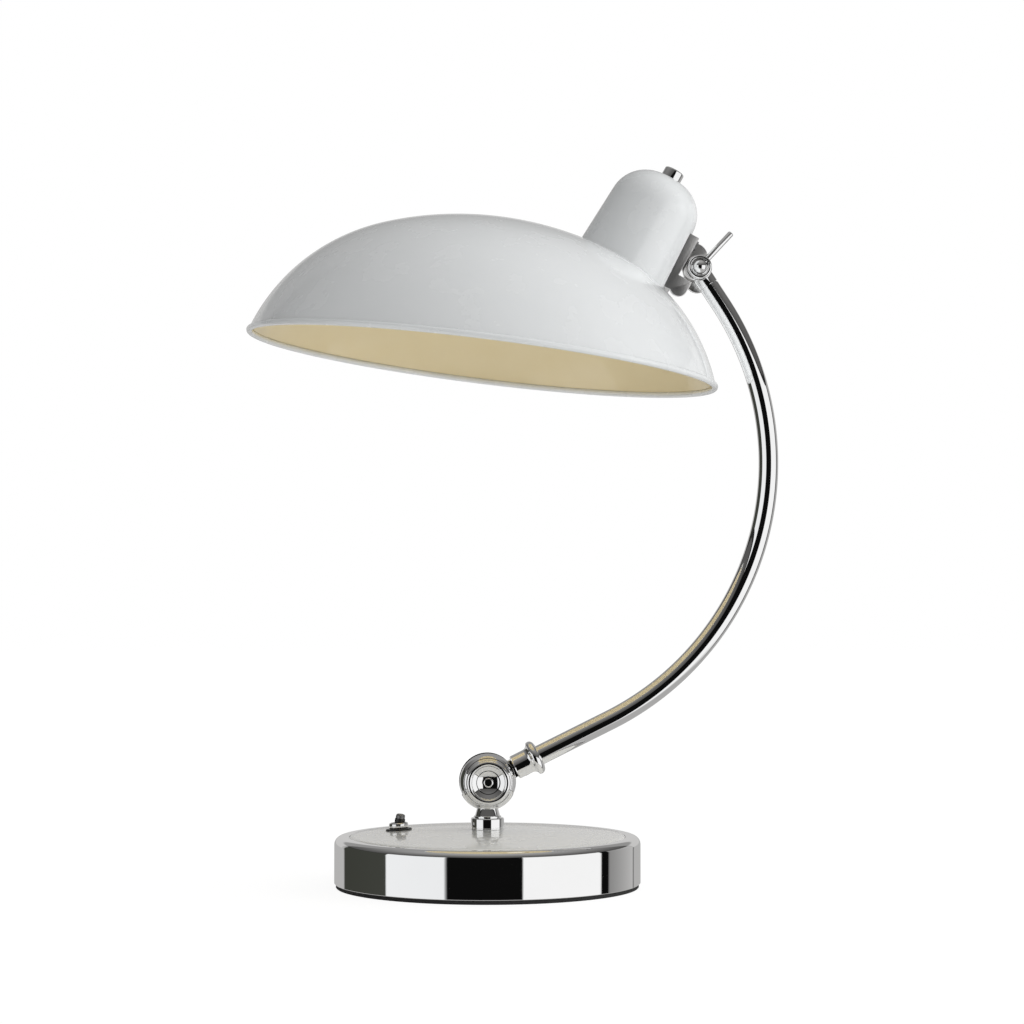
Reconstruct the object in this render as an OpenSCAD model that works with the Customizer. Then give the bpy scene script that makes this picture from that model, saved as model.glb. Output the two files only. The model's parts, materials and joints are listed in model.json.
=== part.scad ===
// Desk lamp: a dome shade with a leaning cap on a curved tube arm.
// Millimetres, +Z up. The origin is the middle of the foot's underside, on the table.
// The arm lies in the XZ plane and bows towards +X. Both tilt axes run along Y.

/* [Base] */
// Outer radius of the plated base ring
base_r = 91.5; // [80:0.5:110]
// Height of the ring's straight side above the table
base_side_h = 25.5; // [22:0.5:40]
// Radius of the ring's rounded shoulder
shoulder_r = 4.5; // [3:0.5:6]
// Thickness of the ring's sheet
ring_t = 1.5; // [1:0.1:2]
// Width of the ring's top, from its side to the edge of the disc
top_w = 9.2; // [8:0.1:14]
// Thickness of the top disc
disc_t = 1.5; // [1:0.1:2]
// Rise of the top disc from its edge to its flat seat
disc_rise = 4; // [1:0.5:8]
// Radius of the flat seat pressed in the middle of the disc
seat_r = 12; // [10.5:0.5:16]
// Width of the ledge that carries the edge of the disc
ledge_w = 6; // [4:0.5:10]
// Thickness of the felt pad under the base
pad_t = 2.5; // [1:0.5:4]
// Distance of the pad's edge inside the ring
pad_inset = 1; // [0:0.5:4]
// Thickness of the bottom plate
plate_t = 1.5; // [1:0.5:3]
// Height of the iron weight's body above the bottom plate
weight_h = 20; // [18.5:0.5:20.5]

/* [Cord inlet] */
// Radius of the bore for the cord
inlet_bore_r = 3.5; // [2.5:0.1:4]
// Wall of the inlet bush
inlet_wall = 1.5; // [1:0.1:2]
// Height of the inlet above the table
inlet_z = 11; // [10.5:0.5:14]

/* [Switch] */
// Distance of the switch from the middle of the base
switch_r = 55; // [45:1:62]
// Direction of the switch from the middle, from +X
switch_turn = 164; // [150:1:180]
// Radius of the dark washer under the switch nut
switch_washer_r = 7.9; // [6.5:0.1:10]
// Radius of the switch nut
switch_nut_r = 5.8; // [5.4:0.1:6.4]
// Height of the switch nut
switch_nut_h = 3.6; // [2.5:0.1:4.5]
// Radius of the toggle's cap
toggle_r = 3.1; // [2.5:0.1:3.3]
// Height of the toggle's tip above the disc
toggle_h = 9.8; // [8:0.1:14]
// Lean of the toggle to either side
toggle_lean = 12; // [6:1:14]

/* [Stem] */
// Radius of the collar on the top disc
collar_r = 9.9; // [9:0.1:10.4]
// Height of the collar
collar_h = 6.9; // [4:0.1:12]
// Radius of the neck at the collar
neck_r = 8.2; // [7.6:0.1:9.5]
// Radius of the neck where it meets the ball
neck_top_r = 6.5; // [5.8:0.1:7.2]
// Radius of the threaded shank through the base
shank_r = 5; // [4:0.1:6]

/* [Foot joint] */
// Height of the joint axis above the table
joint_z = 62.6; // [61.5:0.1:66]
// Radius of the ball-shaped fork
ball_r = 17.5; // [17:0.1:18.5]
// Half width of the fork over its flats
fork_half = 9.5; // [8.5:0.1:11]
// Half thickness of the arm's tongue between the cheeks
tongue_half = 3.5; // [3:0.1:4]
// Radius of the tongue
tongue_r = 13.6; // [12.5:0.1:13.6]
// Thickness of each fibre washer
fibre_t = 0.8; // [0.5:0.1:1.2]
// Radius of the joint screw
joint_screw_r = 3; // [2.5:0.1:3.5]
// Radius of the lock knob
knob_r = 13.2; // [11:0.1:14.4]
// Thickness of the lock knob
knob_t = 5.6; // [4:0.1:8]

/* [Arm] */
// Outer radius of the arm tube
tube_r = 5.95; // [5.5:0.05:6.1]
// Wall of the arm tube
tube_wall = 1.5; // [1:0.1:2]
// Rise of the arm's foot above the level
arm_rise = 26.3; // [22:0.1:32]
// Straight length from the joint axis to the bend
arm_foot = 81.9; // [60:0.1:120]
// Radius of the bend along the tube's middle
arm_bend_r = 173.6; // [150:0.1:200]
// Angle of the bend
arm_bend = 97.1; // [92:0.1:104]
// Straight length from the bend to the hinge axis
arm_tip = 25.6; // [24:0.1:40]
// Outer radius of the sleeve that holds the tube
sleeve_r = 7.3; // [7.2:0.1:8]
// Distance of the sleeve's bead from the joint axis
bead_s = 31.6; // [29:0.1:34]
// Outer radius of the bead
bead_r = 10.45; // [10:0.05:11]
// Radius of the bead's rounding
bead_round = 3; // [2.4:0.1:3.2]
// Radius of the two-core lead inside
lead_r = 2; // [1.5:0.1:2.2]

/* [Shade hinge] */
// Radius of the eye at the top of the arm
eye_r = 8; // [7.6:0.1:8.2]
// Half thickness of the eye
eye_half = 6.2; // [6.2:0.1:7]
// Length from the hinge axis to the end of the tube
eye_reach = 12.8; // [12:0.1:16]
// Radius of the hinge screw
hinge_screw_r = 2.5; // [2:0.1:3]
// Thickness of the bracket's sheet
bracket_t = 2.6; // [2:0.1:3]
// Radius of the clamp nut
clamp_r = 7.2; // [6.5:0.1:7.6]
// Thickness of the clamp nut
clamp_t = 5; // [4.5:0.1:7]
// Radius of the clamp lever
lever_r = 1.85; // [1.5:0.05:2]
// Length of the clamp lever from the hinge axis
lever_reach = 28.2; // [20:0.1:34]
// Direction of the clamp lever above the level
lever_turn = 47; // [30:1:50]

/* [Shade] */
// Radius of the dome at its rim
rim_r = 141.3; // [130:0.1:150]
// Height of the dome above the rim
dome_h = 85.5; // [80:0.1:92]
// Radius of the dome's crown
crown_r = 202; // [185:1:230]
// Angle of the crown, from the dome's axis to where its side begins
crown_turn = 21.3; // [18:0.1:24]
// Thickness of the dome's sheet
dome_t = 1.2; // [0.8:0.1:2]
// Radius of the rolled rim
rim_bead_r = 1.85; // [1.6:0.05:2.5]

/* [Cap] */
// Distance from the dome's axis to where the cap's axis meets the dome
cap_x = 77.6; // [70:0.1:82]
// Lean of the cap against the dome's axis
cap_lean = 22.4; // [20:0.1:25]
// Lean of the cap against the upright
head_lean = 29.4; // [26:0.1:34]
// Radius of the cap where it meets the dome
cap_r = 29.5; // [28.5:0.1:30]
// Height of the cap above the dome
cap_h = 57.8; // [56:0.1:62]
// Taper of the cap's side
cap_taper = 2.8; // [0:0.1:3.2]
// Rounding of the cap's top
cap_round = 22; // [16:0.5:22]
// Thickness of the cap's sheet
cap_t = 1.2; // [0.8:0.1:1.6]
// Distance of the hinge axis from the cap's axis
hinge_out = 41.1; // [38.6:0.1:42]
// Height of the hinge axis above the dome, along the cap
hinge_up = 18.7; // [16.5:0.1:22]
// Radius of the plated nut on top of the cap
cap_nut_r = 6.25; // [5.5:0.05:8]
// Height of the plated nut
cap_nut_h = 6; // [3:0.1:8]

/* [Lampholder and bulb] */
// Radius of the threaded hollow nipple
nipple_r = 4; // [3:0.1:4.5]
// Outer radius of the lampholder
holder_r = 19.7; // [18.5:0.1:20]
// Depth of the lampholder's skirt below the dome
skirt_drop = 10; // [9:0.5:14]
// Height of the lampholder's top above the dome
holder_top = 46; // [44:0.5:47]
// Outer radius of the brass screw shell
shell_r = 14.2; // [14:0.1:14.6]
// Radius of the bulb's glass ball
bulb_r = 22.5; // [16:0.5:24]
// Depth of the bulb's tip below the dome, along the cap
bulb_drop = 60; // [56:0.5:70]

/* [Clearances] */
// Radial play of a screw in a turning part
pin_play = 0.05; // [0.03:0.01:0.08]
// Play between flat faces that slide on each other
face_play = 0.05; // [0:0.01:0.1]
// Gap round fixed pieces that slip over each other
slip = 0.1; // [0.05:0.01:0.2]
// Gap between moving parts that don't bear on each other
run_gap = 0.4; // [0.3:0.05:0.5]

/* [Hidden] */
$fn = 96;
cut = 1;            // overshoot of a cutting shape
arc_steps = 8;      // chords of a small arc in a turned profile
chrome = "silver";
enamel = "whitesmoke";
steel = "lightslategray";
brass = "goldenrod";
black = "dimgray";

// Heights in the base
base_top = base_side_h + shoulder_r;
disc_top = base_top + disc_rise;
plate_top = pad_t + plate_t;
weight_top = plate_top + weight_h;
weight_r = base_r - ring_t - 1.5;
disc_r = base_r - top_w;
recess_r = disc_r + 0.3;
ledge_r = recess_r - ledge_w;
ledge_z = base_top - disc_t - ring_t;
bottom_screw_r = 2;
bottom_screw_l = 9;
bottom_head_r = 3.5;
bottom_head_t = 0.8;
inlet_flange = 1.2;
inlet_lip = 1.6;
channel_w = 14;

// Stem, from the collar down to its nut
collar_top = disc_top + collar_h;
shank_low = 12;
stem_nut_t = 5;
stem_washer_t = 1.5;
pocket_top = shank_low + 1 + stem_nut_t + stem_washer_t;
nut_pocket_r = 13;
lead_hole_r = lead_r + 0.3;
lead_z = plate_top + lead_r + 0.3;

// Switch, in a frame that stands square on the disc
switch_tip = atan(2*disc_rise*switch_r/(disc_r*disc_r - seat_r*seat_r));
switch_washer_t = 0.9;
switch_case = [16, 14, 13];
switch_pocket_r = 12;
bush_r = 4.6;
bush_bore_r = 4.1;
bush_throat_r = 2.5;
toggle_ball_r = 2.2;
toggle_pin_r = 0.8;
toggle_pin_l = 3.6;
toggle_pivot = 1;

// Foot joint
cheek_in = tongue_half + fibre_t + 2*face_play;
slot_r = tongue_r + run_gap;
crotch_z = -8;
knob_y = -fork_half - face_play - knob_t;
joint_head_t = 3.5;
joint_head_r = 7;

// Arm
arm_top_turn = arm_rise + arm_bend;
pivot_x = arm_foot*cos(arm_rise) - arm_bend_r*sin(arm_rise)
    + arm_bend_r*sin(arm_top_turn) + arm_tip*cos(arm_top_turn);
pivot_z = joint_z + arm_foot*sin(arm_rise) + arm_bend_r*cos(arm_rise)
    - arm_bend_r*cos(arm_top_turn) + arm_tip*sin(arm_top_turn);
tube_bore_r = tube_r - tube_wall;
sleeve_low = ball_r + run_gap + 0.1;
tube_low = sleeve_low + 2.5;
sleeve_end = bead_s + bead_round + 0.4;
grub_r = 1.5;
spigot_l = 10;
lead_gap = 5;
eye_hole_l = 3;

// Shade hinge, in layers along Y from the eye
hinge_face = eye_half + fibre_t + 2*face_play;
bracket_y = hinge_face + bracket_t;
bracket_face = -(eye_r + 0.6);
ear_top = [-5.4, 6.4];
ear_top_r = 8.7;
ear_low = [3.8, -5.7];
ear_low_r = 6.9;
hinge_head_r = 5;
hinge_head_t = 3;
clamp_low = -(eye_half + fibre_t + 3*face_play);
clamp_dome_r = 4.4;
bracket_screw_r = 1.5;
bracket_screw_head = [3, 1.4];
bracket_screw_z = [-13.7, 11.6];
bracket_screw_l = 8;

// Dome: a crown arc that runs on into a side arc
side_r = crown_r - (pow(crown_r, 2) - pow(dome_h - crown_r, 2) - pow(rim_r, 2))
    / (2*(crown_r + (dome_h - crown_r)*cos(crown_turn) - rim_r*sin(crown_turn)));
side_x = (crown_r - side_r)*sin(crown_turn);
side_z = dome_h - crown_r + (crown_r - side_r)*cos(crown_turn);
rim_turn = acos(-side_z/side_r);
cap_z = dome_height(cap_x);

// Cap and lampholder, along the cap's axis from the dome
round_z = cap_h - cap_round;
round_x = cap_r - (round_z + cap_round*sin(cap_taper))*tan(cap_taper) - cap_round*cos(cap_taper);
skirt_top = 22;
skirt_bore_r = shell_r + 1;
insert_z = [14, 28];
shell_low = -skirt_drop + 2;
contact_r = 3.5;
contact_l = 3;
bulb_neck_z = -13;
bulb_neck_r = 12.4;
bulb_cap_r = shell_r - 0.5 - slip*2;
locknut_t = 4;
locknut_r = nipple_r + 3.6;
locknut_top = round_z - face_play
    + sqrt(pow(cap_round - cap_t, 2) - pow(max(0, locknut_r - round_x), 2));
lead_side = holder_r + lead_r + 2*slip;
lead_entry = 9.5;
lead_up = insert_z[1] + lead_r + 1;
lead_in = 12;

// ---------- shared geometry ----------

// Points of an arc about a centre, from one angle to another
function arc(centre, r, from, to, steps = arc_steps) =
    [for (i = [0:steps]) let (a = from + (to - from)*i/steps) centre + r*[cos(a), sin(a)]];

// Top of the disc at a distance from its middle
function disc_z(r) = r <= seat_r ? disc_top
    : disc_top - disc_rise*(r*r - seat_r*seat_r)/(disc_r*disc_r - seat_r*seat_r);

// Height of the dome's outside above the rim, at a distance from its axis
function dome_height(x) = x < crown_r*sin(crown_turn)
    ? dome_h - crown_r + sqrt(crown_r*crown_r - x*x)
    : side_z + sqrt(side_r*side_r - pow(x - side_x, 2));

// Profile of the dome from its axis to its rim, set in by a thickness
function dome_line(inset, rim) = concat(
    [for (i = [0:7]) let (a = crown_turn*i/8)
        [(crown_r - inset)*sin(a), dome_h - crown_r + (crown_r - inset)*cos(a)]],
    [for (i = [0:18]) let (a = crown_turn + (rim - crown_turn)*i/18)
        [side_x + (side_r - inset)*sin(a), side_z + (side_r - inset)*cos(a)]]);

// Profile of the cap from its foot to its axis, set in by a thickness
function cap_line(inset, foot) = concat(
    [[cap_r - inset/cos(cap_taper) - foot*tan(cap_taper), foot]],
    arc([round_x, round_z], cap_round - inset, cap_taper, 90, 12),
    [[0, cap_h - inset]]);

// A cylinder along Y from one y to another
module bar_y(r, from, to) {
    translate([0, to, 0]) rotate([90, 0, 0]) cylinder(r = r, h = to - from);
}

// A profile of [radius, distance towards the front] turned about a Y axis
module turn_y() {
    rotate([90, 0, 0]) rotate_extrude() children();
}

// A flat piece given as an outline in x and z, from one y to another
module sheet_y(from, to) {
    translate([0, to, 0]) rotate([90, 0, 0]) linear_extrude(to - from) children();
}

// Outline of a belt round two circles
function belt(a, ra, b, rb) =
    let (turn = atan2(b.y - a.y, b.x - a.x), spread = acos((ra - rb)/norm(b - a)))
    concat(arc(a, ra, turn + spread, turn + 360 - spread, 3*arc_steps),
        arc(b, rb, turn - spread, turn + spread, 2*arc_steps));

// A lead that runs straight from point to point
module lead(points) {
    for (i = [1:len(points) - 1]) {
        run = points[i] - points[i - 1];
        translate(points[i - 1])
            rotate([0, acos(run.z/norm(run)), atan2(run.y, run.x)])
                cylinder(r = lead_r, h = norm(run));
    }
    for (i = [1:len(points) - 2]) translate(points[i]) sphere(r = lead_r*1.04);
}

// Where the switch stands: square on the disc, x pointing outwards
module switch_frame() {
    rotate([0, 0, switch_turn]) translate([switch_r, 0, disc_z(switch_r)])
        rotate([0, switch_tip, 0]) children();
}

// The foot joint's axis, and the arm's foot with z along the tube
module joint_frame() {
    translate([0, 0, joint_z]) children();
}
module arm_frame() {
    joint_frame() rotate([0, 90 - arm_rise, 0]) children();
}

// The hinge at the arm's top, with z pointing down along the tube
module eye_frame() {
    translate([pivot_x, 0, pivot_z]) rotate([0, 270 - arm_top_turn, 0]) children();
}

// The head: z along the cap, origin on the hinge axis
module hinge_frame() {
    translate([pivot_x, 0, pivot_z]) rotate([0, head_lean, 0]) children();
}

// The cap: origin where its axis meets the dome
module cap_frame() {
    hinge_frame() translate([-hinge_out, 0, -hinge_up]) children();
}

// The dome: origin in the middle of its rim
module dome_frame() {
    cap_frame() rotate([0, -cap_lean, 0]) translate([-cap_x, 0, -cap_z]) children();
}

// A round bar along the arm, from a distance above the joint to one short of the hinge
module along_arm(r, start, stop) {
    arm_frame() translate([-arm_bend_r, 0, arm_foot]) {
        translate([arm_bend_r, 0, start - arm_foot]) cylinder(r = r, h = arm_foot - start);
        rotate([90, 0, 0]) rotate_extrude(angle = arm_bend) translate([arm_bend_r, 0]) circle(r = r);
        rotate([0, -arm_bend, 0]) translate([arm_bend_r, 0, 0]) cylinder(r = r, h = arm_tip - stop);
    }
}

// Everything inside the dome's outer or inner face
module dome_solid(inset) {
    dome_frame() rotate_extrude() polygon(concat([[0, 0]], dome_line(inset, rim_turn)));
}

// Everything inside the cap's outer or inner face, down to a foot below the dome
module cap_solid(inset, foot) {
    cap_frame() rotate_extrude() polygon(concat([[0, foot]], cap_line(inset, foot)));
}

// ---------- base ----------

module foot_pad() {
    color(black) cylinder(r = base_r - pad_inset, h = pad_t);
}

module bottom_screw_places() {
    for (a = [30, 150, 270]) rotate([0, 0, a]) translate([weight_r - 14, 0, pad_t]) children();
}

module bottom_plate() {
    color(steel) difference() {
        translate([0, 0, pad_t]) cylinder(r = base_r - ring_t - slip*3, h = plate_t);
        bottom_screw_places() translate([0, 0, -cut]) {
            cylinder(r = bottom_screw_r + slip, h = plate_t + 2*cut);
            cylinder(r = bottom_head_r + slip, h = cut + bottom_head_t);
        }
    }
}

module bottom_screws() {
    color(steel) bottom_screw_places() {
        cylinder(r = bottom_head_r, h = bottom_head_t - face_play);
        cylinder(r = bottom_screw_r, h = bottom_screw_l);
    }
}

module base_weight() {
    color(steel) difference() {
        rotate_extrude() polygon([
            [0, plate_top], [weight_r, plate_top], [weight_r, ledge_z], [ledge_r, ledge_z],
            [ledge_r - 2, weight_top], [seat_r, weight_top], [seat_r, disc_top - disc_t],
            [0, disc_top - disc_t]]);
        translate([0, 0, -cut]) cylinder(r = shank_r + slip, h = disc_top);
        translate([0, 0, plate_top - cut]) cylinder(r = nut_pocket_r, h = pocket_top - plate_top + cut);
        rotate([0, 0, switch_turn]) translate([switch_r, 0, plate_top - cut])
            cylinder(r = switch_pocket_r, h = base_top);
        bottom_screw_places() cylinder(r = bottom_screw_r + slip, h = bottom_screw_l + 3);
        // Channels for the lead: to the back, and to the switch
        translate([-channel_w/2, 0, plate_top - cut])
            cube([channel_w, base_r, inlet_z + 8 - plate_top + cut]);
        rotate([0, 0, switch_turn]) translate([0, -channel_w/2, plate_top - cut])
            cube([switch_r, channel_w, 3*lead_r + cut]);
    }
}

module inlet_place() {
    translate([0, 0, inlet_z]) children();
}

module base_ring() {
    shoulder = [base_r - shoulder_r, base_side_h];
    color(chrome) difference() {
        rotate_extrude() polygon(concat(
            [[base_r, pad_t]],
            arc(shoulder, shoulder_r, 0, 90),
            [[recess_r, base_top], [recess_r, base_top - disc_t], [ledge_r, base_top - disc_t],
             [ledge_r, ledge_z], [recess_r + ring_t, ledge_z], [recess_r + ring_t, base_top - ring_t]],
            arc(shoulder, shoulder_r - ring_t, 90, 0),
            [[base_r - ring_t, pad_t]]));
        inlet_place() bar_y(inlet_bore_r + inlet_wall + slip, base_r - 10, base_r + cut);
    }
}

module top_disc() {
    rim = [for (i = [0:14]) let (r = seat_r + (disc_r - seat_r)*i/14) [r, disc_z(r)]];
    low = [for (i = [14:-1:0]) [rim[i].x, rim[i].y - disc_t]];
    color(enamel) difference() {
        rotate_extrude() polygon(concat([[0, disc_top]], rim, low, [[0, disc_top - disc_t]]));
        translate([0, 0, disc_top - 2*disc_t]) cylinder(r = shank_r + slip, h = 3*disc_t);
        switch_frame() translate([0, 0, -2*disc_t]) cylinder(r = bush_r + slip, h = 3*disc_t);
    }
}

module cord_inlet() {
    flange_r = inlet_bore_r + inlet_wall + inlet_flange;
    wall_in = sqrt(pow(base_r - ring_t, 2) - flange_r*flange_r) - face_play;
    inner_end = wall_in - inlet_lip;
    color(black) inlet_place() difference() {
        union() {
            bar_y(inlet_bore_r + inlet_wall, inner_end, base_r + inlet_lip);
            bar_y(flange_r, inner_end, wall_in);
            bar_y(flange_r, base_r + face_play, base_r + inlet_lip);
        }
        bar_y(inlet_bore_r, inner_end - cut, base_r + inlet_lip + cut);
    }
}

// The lead inside the base: inlet to switch, then switch to stem, side by side in the channel
module base_lead() {
    along = [cos(switch_turn), sin(switch_turn), 0];
    side = [-along.y, along.x, 0]*(lead_r + 1.6);
    low = [0, 0, lead_z];
    up = [0, 0, disc_z(switch_r) - disc_t - switch_case.z - 1 - lead_z];
    inlet_end = base_r - ring_t - 4;
    color(black) {
        lead([[0, inlet_end, inlet_z], [0, inlet_end - 12, lead_z], low + [0, 9, 0],
            low + along*9 - side, low + along*switch_r - side, low + along*switch_r - side + up]);
        lead([low + along*switch_r + side + up, low + along*switch_r + side,
            low + along*9 + side, low, [0, 0, shank_low + 6]]);
    }
}

// ---------- switch ----------

module switch_body() {
    color(black) switch_frame() difference() {
        union() {
            translate([-switch_case.x/2, -switch_case.y/2, -disc_t - switch_case.z - face_play])
                cube(switch_case);
            translate([0, 0, -disc_t - cut]) cylinder(r = bush_r, h = disc_t + cut + switch_washer_t + 2);
        }
        translate([0, 0, toggle_pivot - 3]) cylinder(r = bush_throat_r, h = 4 + cut);
        translate([0, 0, toggle_pivot + 1]) cylinder(r1 = bush_throat_r, r2 = bush_bore_r, h = 1.2);
        translate([0, 0, toggle_pivot])
            bar_y(toggle_pin_r + pin_play, -toggle_pin_l - slip, toggle_pin_l + slip);
    }
}

module switch_washer() {
    color(black) switch_frame() translate([0, 0, face_play]) difference() {
        cylinder(r = switch_washer_r, h = switch_washer_t - face_play);
        translate([0, 0, -cut]) cylinder(r = bush_r + slip, h = switch_washer_t + 2*cut);
    }
}

module switch_nut() {
    color(chrome) switch_frame() translate([0, 0, switch_washer_t]) difference() {
        rotate_extrude() polygon(concat(
            [[0, 0], [switch_nut_r, 0]],
            arc([switch_nut_r - 0.8, switch_nut_h - 0.8], 0.8, 0, 90, 4),
            [[0, switch_nut_h]]));
        translate([0, 0, -cut]) cylinder(r = bush_r + slip, h = switch_nut_h + 2*cut);
    }
}

module switch_toggle() {
    color(black) switch_frame() translate([0, 0, toggle_pivot]) rotate([0, -toggle_lean, 0]) {
        tip = toggle_h - toggle_pivot;
        sphere(r = toggle_ball_r);
        bar_y(toggle_pin_r, -toggle_pin_l, toggle_pin_l);
        cylinder(r = 1.5, h = 3);
        translate([0, 0, 2.2]) cylinder(r1 = 2, r2 = toggle_r, h = 1.4);
        translate([0, 0, 3.6]) cylinder(r = toggle_r, h = tip - 4.8);
        translate([0, 0, tip - 1.2]) cylinder(r1 = toggle_r, r2 = toggle_r - 1, h = 1.2);
    }
}

// ---------- stem and foot joint ----------

module stem_collar() {
    color(chrome) translate([0, 0, disc_top]) difference() {
        rotate_extrude() polygon(concat(
            [[0, 0], [collar_r, 0]],
            arc([collar_r - 0.6, collar_h - 0.6], 0.6, 0, 90, 3),
            [[0, collar_h]]));
        translate([0, 0, -cut]) cylinder(r = shank_r + slip, h = collar_h + 2*cut);
    }
}

module stem_fork() {
    color(chrome) difference() {
        union() {
            translate([0, 0, shank_low]) cylinder(r = shank_r, h = collar_top - shank_low + 2);
            translate([0, 0, collar_top]) cylinder(r = neck_r, h = 1.2);
            translate([0, 0, collar_top + 1.2])
                cylinder(r1 = neck_r - 0.7, r2 = neck_top_r, h = joint_z - ball_r + 0.6 - collar_top - 1.2);
            translate([0, 0, collar_top + 2])
                cylinder(r = neck_top_r - 0.6, h = joint_z - slot_r - 0.3 - collar_top - 2);
            joint_frame() intersection() {
                sphere(r = ball_r);
                cube([3*ball_r, 2*fork_half, 3*ball_r], center = true);
            }
        }
        joint_frame() {
            bar_y(slot_r, -cheek_in, cheek_in);
            translate([-2*ball_r, -cheek_in, crotch_z]) cube([4*ball_r, 2*cheek_in, 3*ball_r]);
            bar_y(joint_screw_r + slip, -2*ball_r, 2*ball_r);
        }
        translate([0, 0, shank_low - cut]) cylinder(r = lead_hole_r, h = joint_z - shank_low - slot_r + 2*cut);
    }
}

module stem_washer() {
    color(steel) translate([0, 0, pocket_top - stem_washer_t]) difference() {
        cylinder(r = nut_pocket_r - 1, h = stem_washer_t);
        translate([0, 0, -cut]) cylinder(r = shank_r + slip, h = stem_washer_t + 2*cut);
    }
}

module stem_nut() {
    color(steel) translate([0, 0, pocket_top - stem_washer_t - stem_nut_t]) difference() {
        cylinder(r = shank_r + 4.8, h = stem_nut_t, $fn = 6);
        translate([0, 0, -cut]) cylinder(r = shank_r + slip/2, h = stem_nut_t + 2*cut);
    }
}

module joint_washers() {
    color(black) joint_frame() for (side = [-1, 1]) {
        middle = side*(tongue_half + fibre_t/2 + face_play);
        difference() {
            bar_y(tongue_r - 1.6, middle - fibre_t/2, middle + fibre_t/2);
            bar_y(joint_screw_r + slip, middle - fibre_t, middle + fibre_t);
        }
    }
}

module joint_screw() {
    stud = 2.8;
    color(chrome) joint_frame() difference() {
        union() {
            bar_y(joint_screw_r, -fork_half - stud, fork_half + cut);
            translate([0, -fork_half - stud, 0]) turn_y()
                polygon(concat([[0, 0]], arc([0, 0], joint_screw_r*0.7, 0, 90)));
            translate([0, fork_half, 0]) rotate([0, 0, 180]) turn_y() polygon(concat(
                [[0, 0], [joint_head_r, 0], [joint_head_r, 1]],
                arc([joint_head_r - 2.5, 1], 2.5, 0, 90),
                [[0, joint_head_t]]));
        }
        translate([-joint_head_r - cut, fork_half + joint_head_t - 1.2, -0.6])
            cube([2*joint_head_r + 2*cut, 2, 1.2]);
    }
}

module lock_knob() {
    dish_r = 9.6;
    step_r = 7.4;
    hub_t = 1.9;
    rim_round = (knob_r - dish_r)/2;
    color(chrome) joint_frame() translate([0, -fork_half - face_play, 0]) turn_y() polygon(concat(
        [[joint_screw_r + pin_play, 0], [knob_r - 1.4, 0]],
        arc([knob_r - rim_round, knob_t - rim_round], rim_round, -40, 180),
        [[step_r, hub_t + 1.1], [step_r - 0.8, hub_t + 0.3], [joint_screw_r + 1.6, hub_t],
         [joint_screw_r + pin_play, hub_t]]));
}

// ---------- arm ----------

module arm_knuckle() {
    bead_x = bead_r - bead_round;
    flare = 3.4;
    color(chrome) difference() {
        union() {
            joint_frame() bar_y(tongue_r, -tongue_half, tongue_half);
            arm_frame() {
                translate([-5.5, -tongue_half, 0]) cube([11, 2*tongue_half, sleeve_low + 1]);
                translate([0, 0, sleeve_low]) cylinder(r = sleeve_r, h = sleeve_end - sleeve_low);
                translate([0, 0, bead_s]) rotate_extrude() translate([bead_x, 0]) circle(r = bead_round);
                translate([0, 0, bead_s - bead_round]) rotate_extrude() polygon(concat(
                    [[0, bead_round], [bead_x + bead_round - 0.4, bead_round]],
                    arc([sleeve_r + flare, 1.6 - flare], flare, 90, 180, 6),
                    [[0, 1.6 - flare]]));
            }
        }
        joint_frame() bar_y(joint_screw_r + pin_play, -2*tongue_half, 2*tongue_half);
        arm_frame() {
            translate([0, 0, tube_low]) cylinder(r = tube_r + slip/2, h = sleeve_end);
            translate([0, 0, joint_screw_r + lead_gap]) cylinder(r = lead_hole_r, h = tube_low);
            sleeve_screw_place() cylinder(r = grub_r + slip/2, h = sleeve_r);
        }
    }
}

// The set screw under the sleeve, z pointing out of the tube
module sleeve_screw_place() {
    translate([0, 0, tube_low + 2.6]) rotate([0, 90, 0]) translate([0, 0, tube_r]) children();
}

module sleeve_screw() {
    color(steel) arm_frame() sleeve_screw_place() translate([0, 0, slip]) difference() {
        cylinder(r = grub_r, h = sleeve_r - tube_r - slip);
        translate([0, 0, 0.7]) cylinder(r = 0.75, h = sleeve_r, $fn = 6);
    }
}

module arm_tube() {
    color(chrome) difference() {
        along_arm(tube_r, tube_low, eye_reach);
        along_arm(tube_bore_r, tube_low - cut, eye_reach - cut);
    }
}

module arm_lead() {
    color(black) along_arm(lead_r, joint_screw_r + lead_gap + cut, eye_reach - eye_hole_l + cut);
}

module arm_eye() {
    color(chrome) difference() {
        eye_frame() {
            bar_y(eye_r, -eye_half, eye_half);
            cylinder(r = tube_r + 0.15, h = eye_reach);
            translate([0, 0, eye_reach - cut]) cylinder(r = tube_bore_r - slip/2, h = spigot_l + cut);
        }
        eye_frame() {
            bar_y(hinge_screw_r + pin_play, -2*eye_half, 2*eye_half);
            translate([0, 0, eye_reach - eye_hole_l]) cylinder(r = lead_hole_r, h = spigot_l + eye_hole_l + cut);
        }
    }
}

// ---------- shade hinge ----------

module hinge_washers() {
    color(black) hinge_frame() for (side = [-1, 1]) {
        middle = side*(eye_half + fibre_t/2 + face_play);
        difference() {
            bar_y(clamp_r - 0.6, middle - fibre_t/2, middle + fibre_t/2);
            bar_y(hinge_screw_r + slip, middle - fibre_t, middle + fibre_t);
        }
    }
}

module hinge_screw() {
    color(chrome) hinge_frame() {
        bar_y(hinge_screw_r, clamp_low - clamp_t + 1, bracket_y + cut);
        translate([0, bracket_y, 0]) rotate([0, 0, 180]) turn_y() polygon(concat(
            [[0, 0], [hinge_head_r, 0], [hinge_head_r, 0.6]],
            arc([hinge_head_r - 2.2, 0.6], 2.2, 0, 90),
            [[0, hinge_head_t - 0.2]]));
    }
}

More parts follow.
